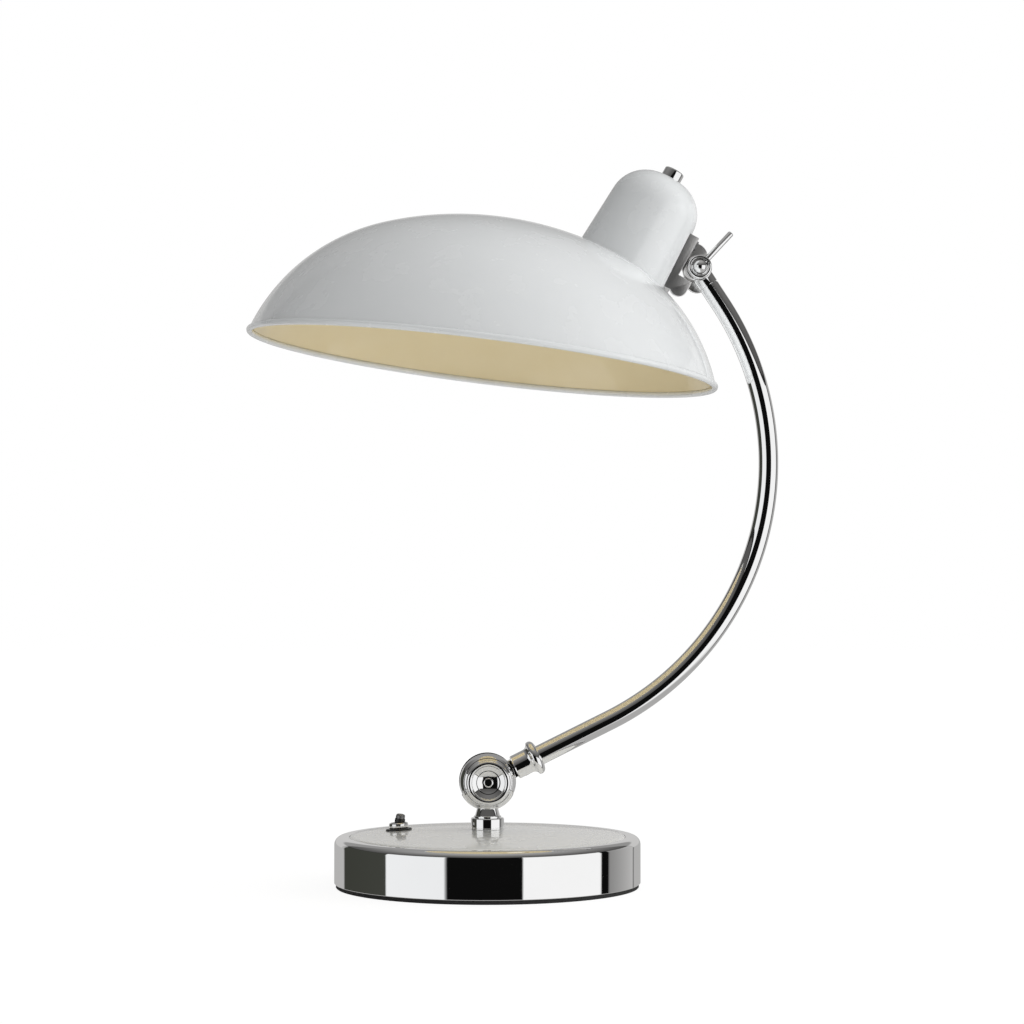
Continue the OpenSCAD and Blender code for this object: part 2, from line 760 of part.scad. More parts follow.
module clamp_nut() {
    groove = 0.9;
    rim = clamp_r - clamp_dome_r - 0.5;
    color(chrome) hinge_frame() difference() {
        union() {
            translate([0, clamp_low, 0]) turn_y() polygon(concat(
                [[0, 0], [clamp_r - 0.6, 0], [clamp_r, 0.6]],
                arc([clamp_r - rim/2, clamp_t - rim/2], rim/2, 0, 180),
                [[clamp_dome_r + 0.5, clamp_t - groove], [0, clamp_t - groove]]));
            translate([0, clamp_low - clamp_t + groove + 0.2, 0]) turn_y()
                polygon(concat([[0, 0]], arc([0, 0], clamp_dome_r, 0, 90, 10)));
        }
        bar_y(hinge_screw_r + pin_play, clamp_low - clamp_t + 0.7, clamp_low + cut);
        lever_place() translate([0, 0, clamp_dome_r]) cylinder(r = lever_r + slip/2, h = clamp_r);
    }
}

// The clamp lever's line, z pointing away from the hinge axis
module lever_place() {
    translate([0, clamp_low - clamp_t*0.52, 0])
        rotate([0, 90 - lever_turn - head_lean, 0]) children();
}

module clamp_lever() {
    color(chrome) hinge_frame() lever_place() translate([0, 0, clamp_dome_r + face_play]) {
        length = lever_reach - clamp_dome_r;
        cylinder(r = lever_r, h = length - 0.7);
        translate([0, 0, length - 0.7]) cylinder(r1 = lever_r, r2 = lever_r - 0.6, h = 0.7);
    }
}

module hinge_bracket() {
    plate_top_z = 15;
    plate_low_z = -21;
    tab = [-5, -17];
    tab_r = 5.45;
    tab_top = -eye_r - 2.3;
    color(chrome) difference() {
        hinge_frame() difference() {
            union() {
                // back plate against the cap
                translate([-hinge_out + 20, -bracket_y, plate_low_z])
                    cube([hinge_out - 20 + bracket_face, 2*bracket_y, plate_top_z - plate_low_z]);
                // far ear, long and rounded, round the hinge axis
                sheet_y(hinge_face, bracket_y) polygon(belt(ear_top, ear_top_r, ear_low, ear_low_r));
                // near tab, rounded, at the foot of the plate
                sheet_y(-bracket_y, -hinge_face) polygon(concat(
                    [[tab.x + tab_r, tab_top], [tab.x - tab_r, tab_top]],
                    arc(tab, tab_r, 180, 360, 2*arc_steps)));
            }
            bar_y(hinge_screw_r + slip, 0, 2*bracket_y);
            bracket_screw_places() cylinder(r = bracket_screw_r + slip, h = 30, center = true);
            translate([0, 0, lead_entry - hinge_up]) rotate([0, -90, 0]) cylinder(r = lead_hole_r, h = 30);
        }
        cap_frame() translate([0, 0, -cap_r]) cylinder(
            r1 = cap_r + face_play + cap_r*tan(cap_taper),
            r2 = cap_r + face_play - cap_h*tan(cap_taper), h = cap_r + cap_h);
    }
}

// The bracket's two screws, z pointing out of the cap
module bracket_screw_places() {
    for (z = bracket_screw_z) translate([bracket_face, 0, z]) rotate([0, 90, 0]) children();
}

module bracket_screws() {
    color(steel) hinge_frame() bracket_screw_places() {
        cylinder(r = bracket_screw_head[0], h = bracket_screw_head[1]);
        translate([0, 0, -bracket_screw_l]) cylinder(r = bracket_screw_r, h = bracket_screw_l);
    }
}

// ---------- shade ----------

module shade_dome() {
    color(enamel) difference() {
        dome_frame() union() {
            rotate_extrude() polygon(concat(dome_line(0, rim_turn), reverse(dome_line(dome_t, rim_turn))));
            rotate_extrude() translate([rim_r - dome_t/2, 0]) circle(r = rim_bead_r);
        }
        cap_frame() translate([0, 0, -30]) cylinder(r = holder_r + 0.3, h = 60);
    }
}

function reverse(list) = [for (i = [len(list) - 1:-1:0]) list[i]];

module shade_cap() {
    foot = -12;
    color(enamel) difference() {
        cap_solid(0, foot);
        cap_solid(cap_t, foot - cut);
        dome_solid(0);
        cap_frame() cylinder(r = nipple_r + slip, h = 2*cap_h);
        hinge_frame() {
            bracket_screw_places() cylinder(r = bracket_screw_r + slip, h = 20, center = true);
            translate([0, 0, lead_entry - hinge_up]) rotate([0, -90, 0]) cylinder(r = lead_hole_r, h = 20);
        }
    }
}

module cap_nut() {
    color(chrome) cap_frame() translate([0, 0, cap_h]) difference() {
        rotate_extrude() polygon(concat(
            [[0, 0], [cap_nut_r, 0]],
            arc([cap_nut_r - 0.8, cap_nut_h - 0.8], 0.8, 0, 90, 4),
            [[0, cap_nut_h]]));
        translate([0, 0, -cut]) cylinder(r = nipple_r + slip/2, h = cap_nut_h - 1.2 + cut);
    }
}

module nipple() {
    low = holder_top - 5;
    color(brass) cap_frame() translate([0, 0, low]) difference() {
        cylinder(r = nipple_r, h = cap_h + cap_nut_h - 1.6 - low);
        translate([0, 0, -cut]) cylinder(r = nipple_r - 1.2, h = cap_h + cap_nut_h);
    }
}

module nipple_locknut() {
    color(brass) cap_frame() translate([0, 0, locknut_top - locknut_t]) difference() {
        cylinder(r = locknut_r, h = locknut_t, $fn = 6);
        translate([0, 0, -cut]) cylinder(r = nipple_r + slip/2, h = locknut_t + 2*cut);
    }
}

// ---------- lampholder and bulb ----------

module holder_cap() {
    wall = 2;
    color(black) cap_frame() difference() {
        rotate_extrude() polygon([
            [0, skirt_top], [holder_r, skirt_top], [holder_r, holder_top - 10],
            [nipple_r + 4, holder_top], [0, holder_top]]);
        translate([0, 0, skirt_top - cut]) cylinder(r = holder_r - wall, h = holder_top - 10 - skirt_top + cut);
        cylinder(r = nipple_r + slip/2, h = 2*holder_top);
        translate([0, 0, lead_up]) rotate([0, 90, 0]) cylinder(r = lead_hole_r, h = 2*holder_r);
    }
}

module holder_insert() {
    color("white") cap_frame() translate([0, 0, insert_z[0]])
        cylinder(r = skirt_bore_r - slip, h = insert_z[1] - insert_z[0]);
}

module holder_skirt() {
    color(black) difference() {
        cap_frame() {
            translate([0, 0, -skirt_drop]) cylinder(r = holder_r, h = skirt_top + skirt_drop);
            translate([0, 0, -4]) cylinder(r = holder_r + 3.8, h = 6);
        }
        difference() {
            dome_solid(0);
            cap_frame() translate([0, 0, -30]) cylinder(r = holder_r + face_play, h = 60);
        }
        cap_frame() translate([0, 0, -skirt_drop - cut])
            cylinder(r = skirt_bore_r, h = skirt_top + skirt_drop + 2*cut);
    }
}

module shade_ring() {
    color(black) intersection() {
        cap_frame() difference() {
            translate([0, 0, 1 - skirt_drop]) cylinder(r = holder_r + 5.3, h = skirt_drop);
            translate([0, 0, -skirt_drop]) cylinder(r = holder_r + face_play, h = 2*skirt_drop);
        }
        dome_solid(dome_t);
    }
}

module screw_shell() {
    wall = 0.5;
    top = insert_z[0] - face_play;
    color(brass) cap_frame() difference() {
        translate([0, 0, shell_low]) cylinder(r = shell_r, h = top - shell_low);
        translate([0, 0, shell_low - cut]) cylinder(r = shell_r - wall, h = top - shell_low - wall + cut);
        cylinder(r = contact_r + 1.5, h = 2*top);
    }
}

module centre_contact() {
    color(brass) cap_frame() translate([0, 0, insert_z[0] - contact_l]) cylinder(r = contact_r, h = contact_l);
}

module bulb_cap() {
    contact_z = insert_z[0] - contact_l;
    color("lightgray") cap_frame() rotate_extrude() polygon([
        [0, bulb_neck_z], [bulb_cap_r, bulb_neck_z], [bulb_cap_r, contact_z - 3.5],
        [contact_r + 1.5, contact_z], [0, contact_z]]);
}

module bulb_glass() {
    centre = bulb_r - bulb_drop;
    shoulder = 40;
    neck = concat(arc([0, centre], bulb_r, -90, 90 - shoulder, 20),
        [[bulb_neck_r + 0.4, bulb_neck_z - 3], [bulb_neck_r, bulb_neck_z], [0, bulb_neck_z]]);
    color("ivory") cap_frame() rotate_extrude() polygon(neck);
}

// The lead inside the cap: in behind the hinge, up beside the lampholder, in through its side
module cap_lead() {
    plate = hinge_out + bracket_face;
    color(black) cap_frame() lead([
        [plate, 0, lead_entry], [lead_side, 0, lead_entry], [lead_side, 0, lead_up], [lead_in, 0, lead_up]]);
}

foot_pad();
bottom_plate();
bottom_screws();
base_weight();
base_ring();
top_disc();
cord_inlet();
base_lead();
switch_body();
switch_washer();
switch_nut();
switch_toggle();
stem_collar();
stem_fork();
stem_washer();
stem_nut();
joint_washers();
joint_screw();
lock_knob();
arm_knuckle();
sleeve_screw();
arm_tube();
arm_lead();
arm_eye();
hinge_washers();
hinge_screw();
clamp_nut();
clamp_lever();
hinge_bracket();
bracket_screws();
shade_dome();
shade_cap();
cap_nut();
nipple();
nipple_locknut();
holder_cap();
holder_insert();
holder_skirt();
shade_ring();
screw_shell();
centre_contact();
bulb_cap();
bulb_glass();
cap_lead();
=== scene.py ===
import json
from math import acos, asin, cos, pi, radians, sin, sqrt, tan

import bmesh
import bpy
from mathutils import Matrix, Vector


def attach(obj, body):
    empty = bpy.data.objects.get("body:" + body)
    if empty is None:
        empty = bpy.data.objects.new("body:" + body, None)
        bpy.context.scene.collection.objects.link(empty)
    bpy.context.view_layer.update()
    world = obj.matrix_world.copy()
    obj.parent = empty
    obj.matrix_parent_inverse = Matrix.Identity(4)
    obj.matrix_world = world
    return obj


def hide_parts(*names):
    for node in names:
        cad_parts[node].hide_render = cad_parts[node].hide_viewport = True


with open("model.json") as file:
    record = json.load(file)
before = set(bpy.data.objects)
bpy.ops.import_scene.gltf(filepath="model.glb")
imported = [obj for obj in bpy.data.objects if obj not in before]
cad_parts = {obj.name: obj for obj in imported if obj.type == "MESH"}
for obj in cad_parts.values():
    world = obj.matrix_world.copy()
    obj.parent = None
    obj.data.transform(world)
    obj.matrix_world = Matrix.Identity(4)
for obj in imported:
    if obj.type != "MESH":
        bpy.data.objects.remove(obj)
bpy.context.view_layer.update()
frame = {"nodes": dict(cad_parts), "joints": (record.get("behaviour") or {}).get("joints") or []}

# ---- Camera
# It stands a metre and a half in front of the lamp, a little below the middle of its height,
# and looks very slightly up.
camera = bpy.data.cameras.new("camera")
camera.lens = 87.7
camera.sensor_width = 36
viewpoint = bpy.data.objects.new("camera", camera)
bpy.context.scene.collection.objects.link(viewpoint)
viewpoint.location = (-0.0638, -1.4979, 0.176)
aim = Vector((0.0147, 0, 0.224))
viewpoint.rotation_euler = (aim - viewpoint.location).to_track_quat("-Z", "Y").to_euler()
bpy.context.scene.camera = viewpoint
bpy.context.scene.view_settings.view_transform = "Standard"


# ---- Studio
# A white room. Polished metal sees the things that stand round the lamp: black and white
# boards in front and at the sides, a dim ceiling, and a grey sweep behind.
class Value:
    """A number that varies from place to place, with its maths written as plain expressions."""

    def __init__(self, paint, socket):
        self.paint = paint
        self.socket = socket

    def __add__(self, other):
        return self.paint.maths("ADD", self, other)

    def __sub__(self, other):
        return self.paint.maths("SUBTRACT", self, other)

    def __rsub__(self, other):
        return self.paint.maths("SUBTRACT", other, self)

    def __mul__(self, other):
        return self.paint.maths("MULTIPLY", self, other)

    def __truediv__(self, other):
        return self.paint.maths("DIVIDE", self, other)

    __radd__ = __add__
    __rmul__ = __mul__


class Paint:
    """The nodes of a material or of the world. Every one of them comes from node()."""

    def __init__(self, owner):
        owner.use_nodes = True
        self.tree = owner.node_tree
        self.tree.nodes.clear()

    def node(self, kind, settings, inputs, output=0):
        made = self.tree.nodes.new("ShaderNode" + kind)
        for name, setting in settings.items():
            if name == "stops":
                ramp = made.color_ramp
                ramp.elements.remove(ramp.elements[1])
                ramp.elements[0].position, ramp.elements[0].color = setting[0]
                for position, colour in setting[1:]:
                    ramp.elements.new(position).color = colour
            else:
                setattr(made, name, setting)
        for name, value in inputs.items():
            if isinstance(value, Value):
                self.tree.links.new(value.socket, made.inputs[name])
            else:
                made.inputs[name].default_value = value
        return Value(self, made.outputs[output]) if made.outputs else made

    def maths(self, operation, *values):
        return self.node("Math", {"operation": operation}, dict(enumerate(values)))

    def between(self, value, low, high):
        """0 where the value is below low, 1 above high, and a smooth step from one to the other."""
        return self.node("MapRange", {"interpolation_type": "SMOOTHSTEP"},
                         {"Value": value, "From Min": low, "From Max": high})

    def mix(self, share, first, second):
        """The first colour where the share is 0 and the second where it is 1."""
        return self.node("Mix", {"data_type": "RGBA"}, {0: share, 6: first, 7: second}, 2)


def grey(level, warmth=0.0):
    """A grey of that brightness, warmer or cooler by a share of it."""
    return (level*(1 + warmth), level, level*(1 - warmth), 1)


world = bpy.data.worlds.new("studio")
bpy.context.scene.world = world
room = Paint(world)
look = room.node("TexCoord", {}, {}, "Generated")
east = room.node("SeparateXYZ", {}, {0: look}, "X")
north = room.node("SeparateXYZ", {}, {0: look}, "Y")
height = room.node("SeparateXYZ", {}, {0: look}, "Z")
# Turn round the room, as a share of it, from the camera and clockwise from above, and the
# height above the level in degrees
camera_turn = -2.44
around = room.maths("FRACT", room.maths("ARCTAN2", east, north*-1)/(2*pi) + (0.5 - camera_turn/360))
climb = room.maths("ARCSINE", height)*(180/pi)
# Where each board begins, and its brightness there and at its far end
boards = [
    (-180, grey(0.44, 0.01), grey(0.48, 0.01)),
    (-135, (0.045, 0.047, 0.039, 1), (0.052, 0.054, 0.046, 1)),
    (-81, grey(0.92, -0.01), grey(0.90, -0.01)),
    (-31, grey(0.004), grey(0.004)),
    (26, grey(0.97), grey(0.97)),
    (93, grey(0.004), grey(0.004)),
    (102.5, grey(0.26, 0.01), grey(0.50, 0.01)),
    (140.5, grey(0.01), grey(0.01)),
    (142, grey(0.45, 0.01), grey(0.44, 0.01)),
]
board_edge = 0.25
stops = []
for place, (start, first, last) in enumerate(boards):
    end = boards[place + 1][0] if place + 1 < len(boards) else 180
    stops.append(((start + board_edge)/360 + 0.5, first))
    stops.append(((end - board_edge)/360 + 0.5, last))
front = room.node("ValToRGB", {"stops": stops}, {"Fac": around})
behind = room.between(room.maths("ABSOLUTE", around - 0.5), 137/360, 141/360)
# The boards are 19 degrees high in front, with a black batten near their top, and 1 behind
board_top = 19 - behind*18
batten = room.between(climb, board_top - 2.0, board_top - 1.6)
over = room.between(climb, board_top, board_top + 0.5)
ceiling = room.mix(room.between(climb, 18, 80), grey(0.09, 0.02), grey(0.38, 0.01))
sweep = room.mix(room.between(climb, 16, 20), grey(0.58, 0.01), grey(0.30, 0.01))
ceiling = room.mix(behind*(1 - room.between(climb, 50, 70)), ceiling, sweep)
walls = room.mix(batten*(1 - behind), front, grey(0.02))
walls = room.mix(over, walls, ceiling)
walls = room.mix(room.between(climb, -42, -30), grey(0.42, 0.01), walls)
mirrored = room.node("LightPath", {}, {}, "Is Glossy Ray")
# Matt faces get a plain light that is strong from the right and weak from the left
plain_light = room.mix(east*0.46 + height*0.16 + north*0.10 + 0.5, grey(0.0), grey(1.34))
seen = room.maths("MAXIMUM", room.node("LightPath", {}, {}, "Is Camera Ray"),
                  room.node("LightPath", {}, {}, "Is Transmission Ray"))
shine = room.mix(mirrored, room.mix(seen, plain_light, grey(1.0)), walls)
room.node("OutputWorld", {}, {"Surface": room.node("Background", {}, {"Color": shine})})

# The floor is a pale board that fades into the white of the room a metre from the lamp
floor_r = 6
near_fade = 0.88
floor_shape = bmesh.new()
bmesh.ops.create_circle(floor_shape, cap_ends=True, radius=floor_r, segments=64)
floor_mesh = bpy.data.meshes.new("floor")
floor_shape.to_mesh(floor_mesh)
floor = bpy.data.objects.new("floor", floor_mesh)
bpy.context.scene.collection.objects.link(floor)
floor.visible_glossy = False
floor_material = bpy.data.materials.new("floor")
floor_mesh.materials.append(floor_material)
board = Paint(floor_material)
spot = board.node("TexCoord", {}, {}, "Object")
reach = board.node("VectorMath", {"operation": "LENGTH"}, {0: spot}, "Value")
grain = board.node("TexNoise", {}, {"Vector": spot, "Scale": 30.0, "Detail": 3.0})
lit = board.node("BsdfDiffuse", {}, {"Color": board.mix(grain, grey(0.90), grey(0.93))})
glow = board.node("Emission", {}, {"Color": grey(1.04)})
in_camera = board.node("LightPath", {}, {}, "Is Camera Ray")
fade = near_fade + board.between(reach, 0.15, 1.0)*(1 - near_fade)
faded = board.node("MixShader", {}, {0: in_camera*fade, 1: lit, 2: glow})
board.node("OutputMaterial", {}, {"Surface": faded})

# One large soft lamp stands to the right and above
key = bpy.data.lights.new("key", "AREA")
key.shape = "DISK"
key.size = 1.6
key.energy = 15
lamp = bpy.data.objects.new("key", key)
bpy.context.scene.collection.objects.link(lamp)
lamp.location = (2.1, -0.3, 1.4)
lamp.rotation_euler = (Vector((0, 0, 0.25)) - lamp.location).to_track_quat("-Z", "Y").to_euler()
lamp.visible_glossy = False


# ---- Foot pad
# A round of black felt glued under the base. Its edge shows as a dark line on the table,
# a millimetre inside the plated ring.
class Lathe:
    """A profile in millimetres, drawn from point to point as x and z, and turned about z."""

    def __init__(self, x, z):
        self.shape = bmesh.new()
        self.start = self.tip = self.shape.verts.new((x, 0, z))

    def line(self, *points):
        for x, z in points:
            self.edge_to(self.shape.verts.new((x, 0, z)))
        return self

    def edge_to(self, end):
        self.shape.edges.new((self.tip, end))
        self.tip = end

    def arc(self, x, z, angle, steps=8):
        """Goes round a centre, anticlockwise where the angle is positive."""
        swept = bmesh.ops.spin(self.shape, geom=[self.tip], cent=(x, 0, z), axis=(0, -1, 0),
                               angle=radians(angle), steps=steps)
        self.tip = swept["geom_last"][0]
        return self

    def turned(self, steps=96, closed=False):
        """The whole turn. A closed profile goes back to its start, as round a bore."""
        if closed:
            self.edge_to(self.start)
        profile = self.shape.verts[:] + self.shape.edges[:]
        bmesh.ops.spin(self.shape, geom=profile, cent=(0, 0, 0), axis=(0, 0, 1),
                       angle=2*pi, steps=steps, use_merge=True)
        bmesh.ops.remove_doubles(self.shape, verts=self.shape.verts, dist=0.0005)
        bmesh.ops.recalc_face_normals(self.shape, faces=self.shape.faces)
        return self.shape


def made(shape, name, place, *finishes, crease=35):
    """The shape as an object in the lamp's frame, in metres. Edges sharper than crease stay sharp."""
    shape.transform(Matrix.Scale(0.001, 4) @ place)
    mesh = bpy.data.meshes.new(name)
    shape.to_mesh(mesh)
    shape.free()
    mesh.shade_smooth()
    mesh.set_sharp_from_angle(angle=radians(crease))
    for finish in finishes:
        mesh.materials.append(finish)
    piece = bpy.data.objects.new(name, mesh)
    bpy.context.scene.collection.objects.link(piece)
    return piece


def dress(finish, *nodes):
    """Gives carried-over nodes their finish."""
    for node in nodes:
        frame["nodes"][node].material_slots[0].material = finish


def surface(paint, inputs):
    """The shader of a finish, from the sockets that it sets."""
    paint.node("OutputMaterial", {}, {"Surface": paint.node("BsdfPrincipled", {}, inputs)})


def noise(paint, scale, detail=4.0, stretch=(1, 1, 1)):
    """Cloudy noise with so many patches to the metre, stretched along the axes."""
    place = paint.node("Mapping", {}, {"Vector": paint.node("TexCoord", {}, {}, "Object"), "Scale": stretch})
    return paint.node("TexNoise", {}, {"Vector": place, "Scale": scale, "Detail": detail})


felt = bpy.data.materials.new("felt")
paint = Paint(felt)
fibres = noise(paint, 2600.0, 3.0)
surface(paint, {
    "Base Color": paint.mix(fibres, grey(0.010), grey(0.045)), "Roughness": 0.95,
    "Normal": paint.node("Bump", {}, {"Strength": 0.6, "Distance": 0.0004, "Height": fibres})})

base_r = 91.5
pad_r = base_r - 1
pad_t = 2.5
bevel = 0.3
pad = Lathe(0, 0).line((pad_r - bevel, 0), (pad_r, bevel), (pad_r, pad_t), (0, pad_t)).turned(192)
pad = made(pad, "felt_pad", Matrix(), felt)
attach(pad, "base")
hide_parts("foot_pad")

# ---- Bottom plate, screws and weight
# A zinc plated steel plate closes the base from below with three screws. Over it lies the
# iron casting that keeps the lamp on its foot.
zinc = bpy.data.materials.new("zinc plate")
paint = Paint(zinc)
grid = paint.node("TexCoord", {}, {}, "Object")
spangle = paint.node("TexVoronoi", {}, {"Vector": grid, "Scale": 260.0}, "Color")
spangle = paint.node("SeparateColor", {}, {0: spangle})
surface(paint, {
    "Base Color": paint.mix(spangle, grey(0.46, -0.02), grey(0.60, -0.02)), "Metallic": 1.0,
    "Roughness": 0.28 + spangle*0.15})

iron = bpy.data.materials.new("cast iron")
paint = Paint(iron)
sand = noise(paint, 900.0, 6.0)
surface(paint, {
    "Base Color": paint.mix(sand, grey(0.05, 0.03), grey(0.16, 0.03)), "Metallic": 0.6,
    "Roughness": 0.55 + sand*0.3,
    "Normal": paint.node("Bump", {}, {"Strength": 0.7, "Distance": 0.0005, "Height": sand})})

dress(zinc, "bottom_plate", "bottom_screws", "stem_washer", "stem_nut")
dress(iron, "base_weight")

# ---- Base ring
# Sheet steel, spun with a rounded shoulder and a sunk ledge for the disc, then polished and
# chrome plated. It is a mirror with the faintest haze of wiping.
chrome = bpy.data.materials.new("chrome plate")
paint = Paint(chrome)
haze = noise(paint, 35.0, 5.0)
wiped = noise(paint, 420.0, 3.0, (1, 1, 0.15))
surface(paint, {
    "Base Color": paint.mix(haze, grey(0.90), grey(0.94)), "Metallic": 1.0,
    "Roughness": 0.012 + haze*0.02 + wiped*0.015,
    "Normal": paint.node("Bump", {}, {"Strength": 0.01, "Distance": 0.0002, "Height": wiped})})


def cut_from(shape, cutter, operation="DIFFERENCE"):
    """The shape with another cut out of it, or joined to it. Both are used up."""
    blanks = []
    for source in (shape, cutter):
        mesh = bpy.data.meshes.new("blank")
        source.to_mesh(mesh)
        source.free()
        blanks.append(bpy.data.objects.new("blank", mesh))
        bpy.context.scene.collection.objects.link(blanks[-1])
    step = blanks[0].modifiers.new("cut", "BOOLEAN")
    step.operation = operation
    step.solver = "EXACT"
    step.object = blanks[1]
    result = bmesh.new()
    result.from_object(blanks[0], bpy.context.evaluated_depsgraph_get())
    for blank in blanks:
        mesh = blank.data
        bpy.data.objects.remove(blank)
        bpy.data.meshes.remove(mesh)
    return result


def rod(r, low, high, place=Matrix(), steps=64):
    """A plain round bar along z, as a cutter or a core."""
    shape = Lathe(0, low).line((r, low), (r, high), (0, high)).turned(steps)
    shape.transform(place)
    return shape


side_h = 25.5
shoulder_r = 4.5
ring_t = 1.5
base_top = side_h + shoulder_r
rim_w = 9.2
disc_r = base_r - rim_w
disc_gap = 0.3
recess_r = disc_r + disc_gap
disc_t = 1.5
ledge_w = 6
lip = 0.5
inlet_z = 11
inlet_r = 5
slip = 0.1
from_behind = Matrix.Translation((0, 0, inlet_z)) @ Matrix.Rotation(radians(-90), 4, "X")

ring = Lathe(base_r - ring_t, pad_t).line((base_r - bevel, pad_t), (base_r, pad_t + bevel), (base_r, side_h))
ring.arc(base_r - shoulder_r, side_h, 90, 16).line((recess_r + lip, base_top))
ring.arc(recess_r + lip, base_top - lip, 90, 4)
ledge_z = base_top - disc_t
ring.line((recess_r, ledge_z), (recess_r - ledge_w, ledge_z), (recess_r - ledge_w, ledge_z - ring_t),
          (recess_r + ring_t, ledge_z - ring_t), (recess_r + ring_t, base_top - ring_t),
          (base_r - shoulder_r, base_top - ring_t))
ring.arc(base_r - shoulder_r, side_h, -90, 8)
ring = cut_from(ring.turned(256, closed=True), rod(inlet_r + slip, 80, 100, from_behind))
ring = made(ring, "plated_ring", Matrix(), chrome)
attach(ring, "base")
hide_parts("base_ring")

# ---- Cord inlet
# A moulded rubber bush, snapped into a hole at the back of the ring. A groove round it holds
# the sheet between two flanges.
rubber = bpy.data.materials.new("rubber")
paint = Paint(rubber)
bloom = noise(paint, 300.0, 4.0)
surface(paint, {
    "Base Color": paint.mix(bloom, grey(0.018), grey(0.035)), "Roughness": 0.55 + bloom*0.2,
    "Normal": paint.node("Bump", {}, {"Strength": 0.1, "Distance": 0.0003, "Height": bloom})})

bore_r = 3.5
flange_r = 6.2
wall_in = sqrt((base_r - ring_t)**2 - flange_r**2) - 0.05
flange_t = 1.6
flange_bevel = 0.4
flange_round = 0.7
hair = 0.05
round_y = base_r + flange_t - flange_round
bush = Lathe(bore_r, wall_in - flange_t)
bush.line((flange_r - flange_bevel, wall_in - flange_t), (flange_r, wall_in - flange_t + flange_bevel),
          (flange_r, wall_in), (inlet_r, wall_in), (inlet_r, base_r + hair), (flange_r, base_r + hair),
          (flange_r, round_y))
bush.arc(flange_r - flange_round, round_y, 90, 5).line((bore_r + flange_round, base_r + flange_t))
bush.arc(bore_r + flange_round, round_y, 90, 5)
bush = made(bush.turned(64, closed=True), "inlet_bush", from_behind, rubber)
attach(bush, "base")
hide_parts("cord_inlet")
dress(rubber, "base_lead", "arm_lead", "cap_lead")

# ---- Top disc
# Pressed aluminium sheet, domed by four millimetres up to a flat seat for the stem, and stove
# enamelled white. It lies loose in the ring's ledge and shows a hairline all round. Its white is
# painted darker than the dome's, as painted shade for the light that the dome above keeps off it.


def enamelled(name, first, last, roughness=0.24):
    """Stove enamel: a faintly uneven colour under a hard gloss, with a trace of orange peel."""
    finish = bpy.data.materials.new(name)
    paint = Paint(finish)
    mottle = noise(paint, 55.0, 4.0)
    surface(paint, {
        "Base Color": paint.mix(mottle, first, last), "Roughness": roughness + mottle*0.06,
        "Coat Weight": 0.8, "Coat Roughness": 0.04,
        "Normal": paint.node("Bump", {}, {"Strength": 0.006, "Distance": 0.0003,
                                          "Height": noise(paint, 300.0, 2.0)})})
    return finish


# Painted shade: the dome's white enamel, painted darker for the shadow of the dome above
shaded_disc_enamel = enamelled("shaded disc enamel", (0.73, 0.735, 0.72, 1), (0.765, 0.77, 0.755, 1))
disc_rise = 4
disc_top = base_top + disc_rise
seat_r = 12
shank_r = 5
switch_r = 55
bush_r = 4.6


def disc_z(r):
    """Height of the disc's top at a distance from its middle."""
    share = max(0, r*r - seat_r*seat_r)/(disc_r*disc_r - seat_r*seat_r)
    return disc_top - disc_rise*share


switch_tip = 2*disc_rise*switch_r/(disc_r*disc_r - seat_r*seat_r)
switch = (Matrix.Rotation(radians(164), 4, "Z") @ Matrix.Translation((switch_r, 0, disc_z(switch_r)))
          @ Matrix.Rotation(switch_tip, 4, "Y"))
steps = 24
edge_w = 0.5
edge_drop = 0.35
rings = [seat_r + (disc_r - edge_w - seat_r)*step/steps for step in range(steps + 1)]
disc = Lathe(shank_r + slip, disc_top).line(*[(r, disc_z(r)) for r in rings])
disc.line((disc_r, base_top - edge_drop), (disc_r, base_top - disc_t))
disc.line(*[(r, disc_z(r) - disc_t) for r in rings[::-4]], (shank_r + slip, disc_top - disc_t))
disc = cut_from(disc.turned(192, closed=True), rod(bush_r + slip, -6, 6, switch))
disc = made(disc, "enamelled_disc", Matrix(), shaded_disc_enamel)
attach(disc, "base")
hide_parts("top_disc")

# ---- Switch
# A toggle switch under the disc. Its threaded bush comes up through a dark fibre washer and
# a plated nut, and carries a stubby dark toggle with a worn tip.
phenolic = bpy.data.materials.new("black phenolic")
paint = Paint(phenolic)
flow = noise(paint, 240.0, 5.0)
surface(paint, {
    "Base Color": paint.mix(flow, grey(0.012), grey(0.030)), "Roughness": 0.28 + flow*0.2,
    "Normal": paint.node("Bump", {}, {"Strength": 0.08, "Distance": 0.0003, "Height": flow})})

tip_metal = bpy.data.materials.new("toggle tip")
paint = Paint(tip_metal)
rub = noise(paint, 900.0, 3.0)
surface(paint, {
    "Base Color": paint.mix(rub, grey(0.16), grey(0.34)), "Metallic": 0.8, "Roughness": 0.25 + rub*0.25})

washer_r = 7.9
washer_t = 0.9
washer = Lathe(bush_r + slip, hair).line((washer_r, hair), (washer_r, washer_t - bevel),
                                         (washer_r - bevel, washer_t), (bush_r + slip, washer_t))
washer = made(washer.turned(64, closed=True), "switch_plate_washer", switch, phenolic)
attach(washer, "base")
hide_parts("switch_washer")

nut_r = 5.8
nut_top = washer_t + 3.6
nut_round = 0.9
nut = Lathe(bush_r + slip, washer_t)
nut.line((nut_r - 0.2, washer_t), (nut_r, washer_t + bevel), (nut_r, nut_top - nut_round))
nut.arc(nut_r - nut_round, nut_top - nut_round, 90, 6).line((bush_r + slip, nut_top))
nut = made(nut.turned(64, closed=True), "switch_ring_nut", switch, chrome)
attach(nut, "base")
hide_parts("switch_nut")

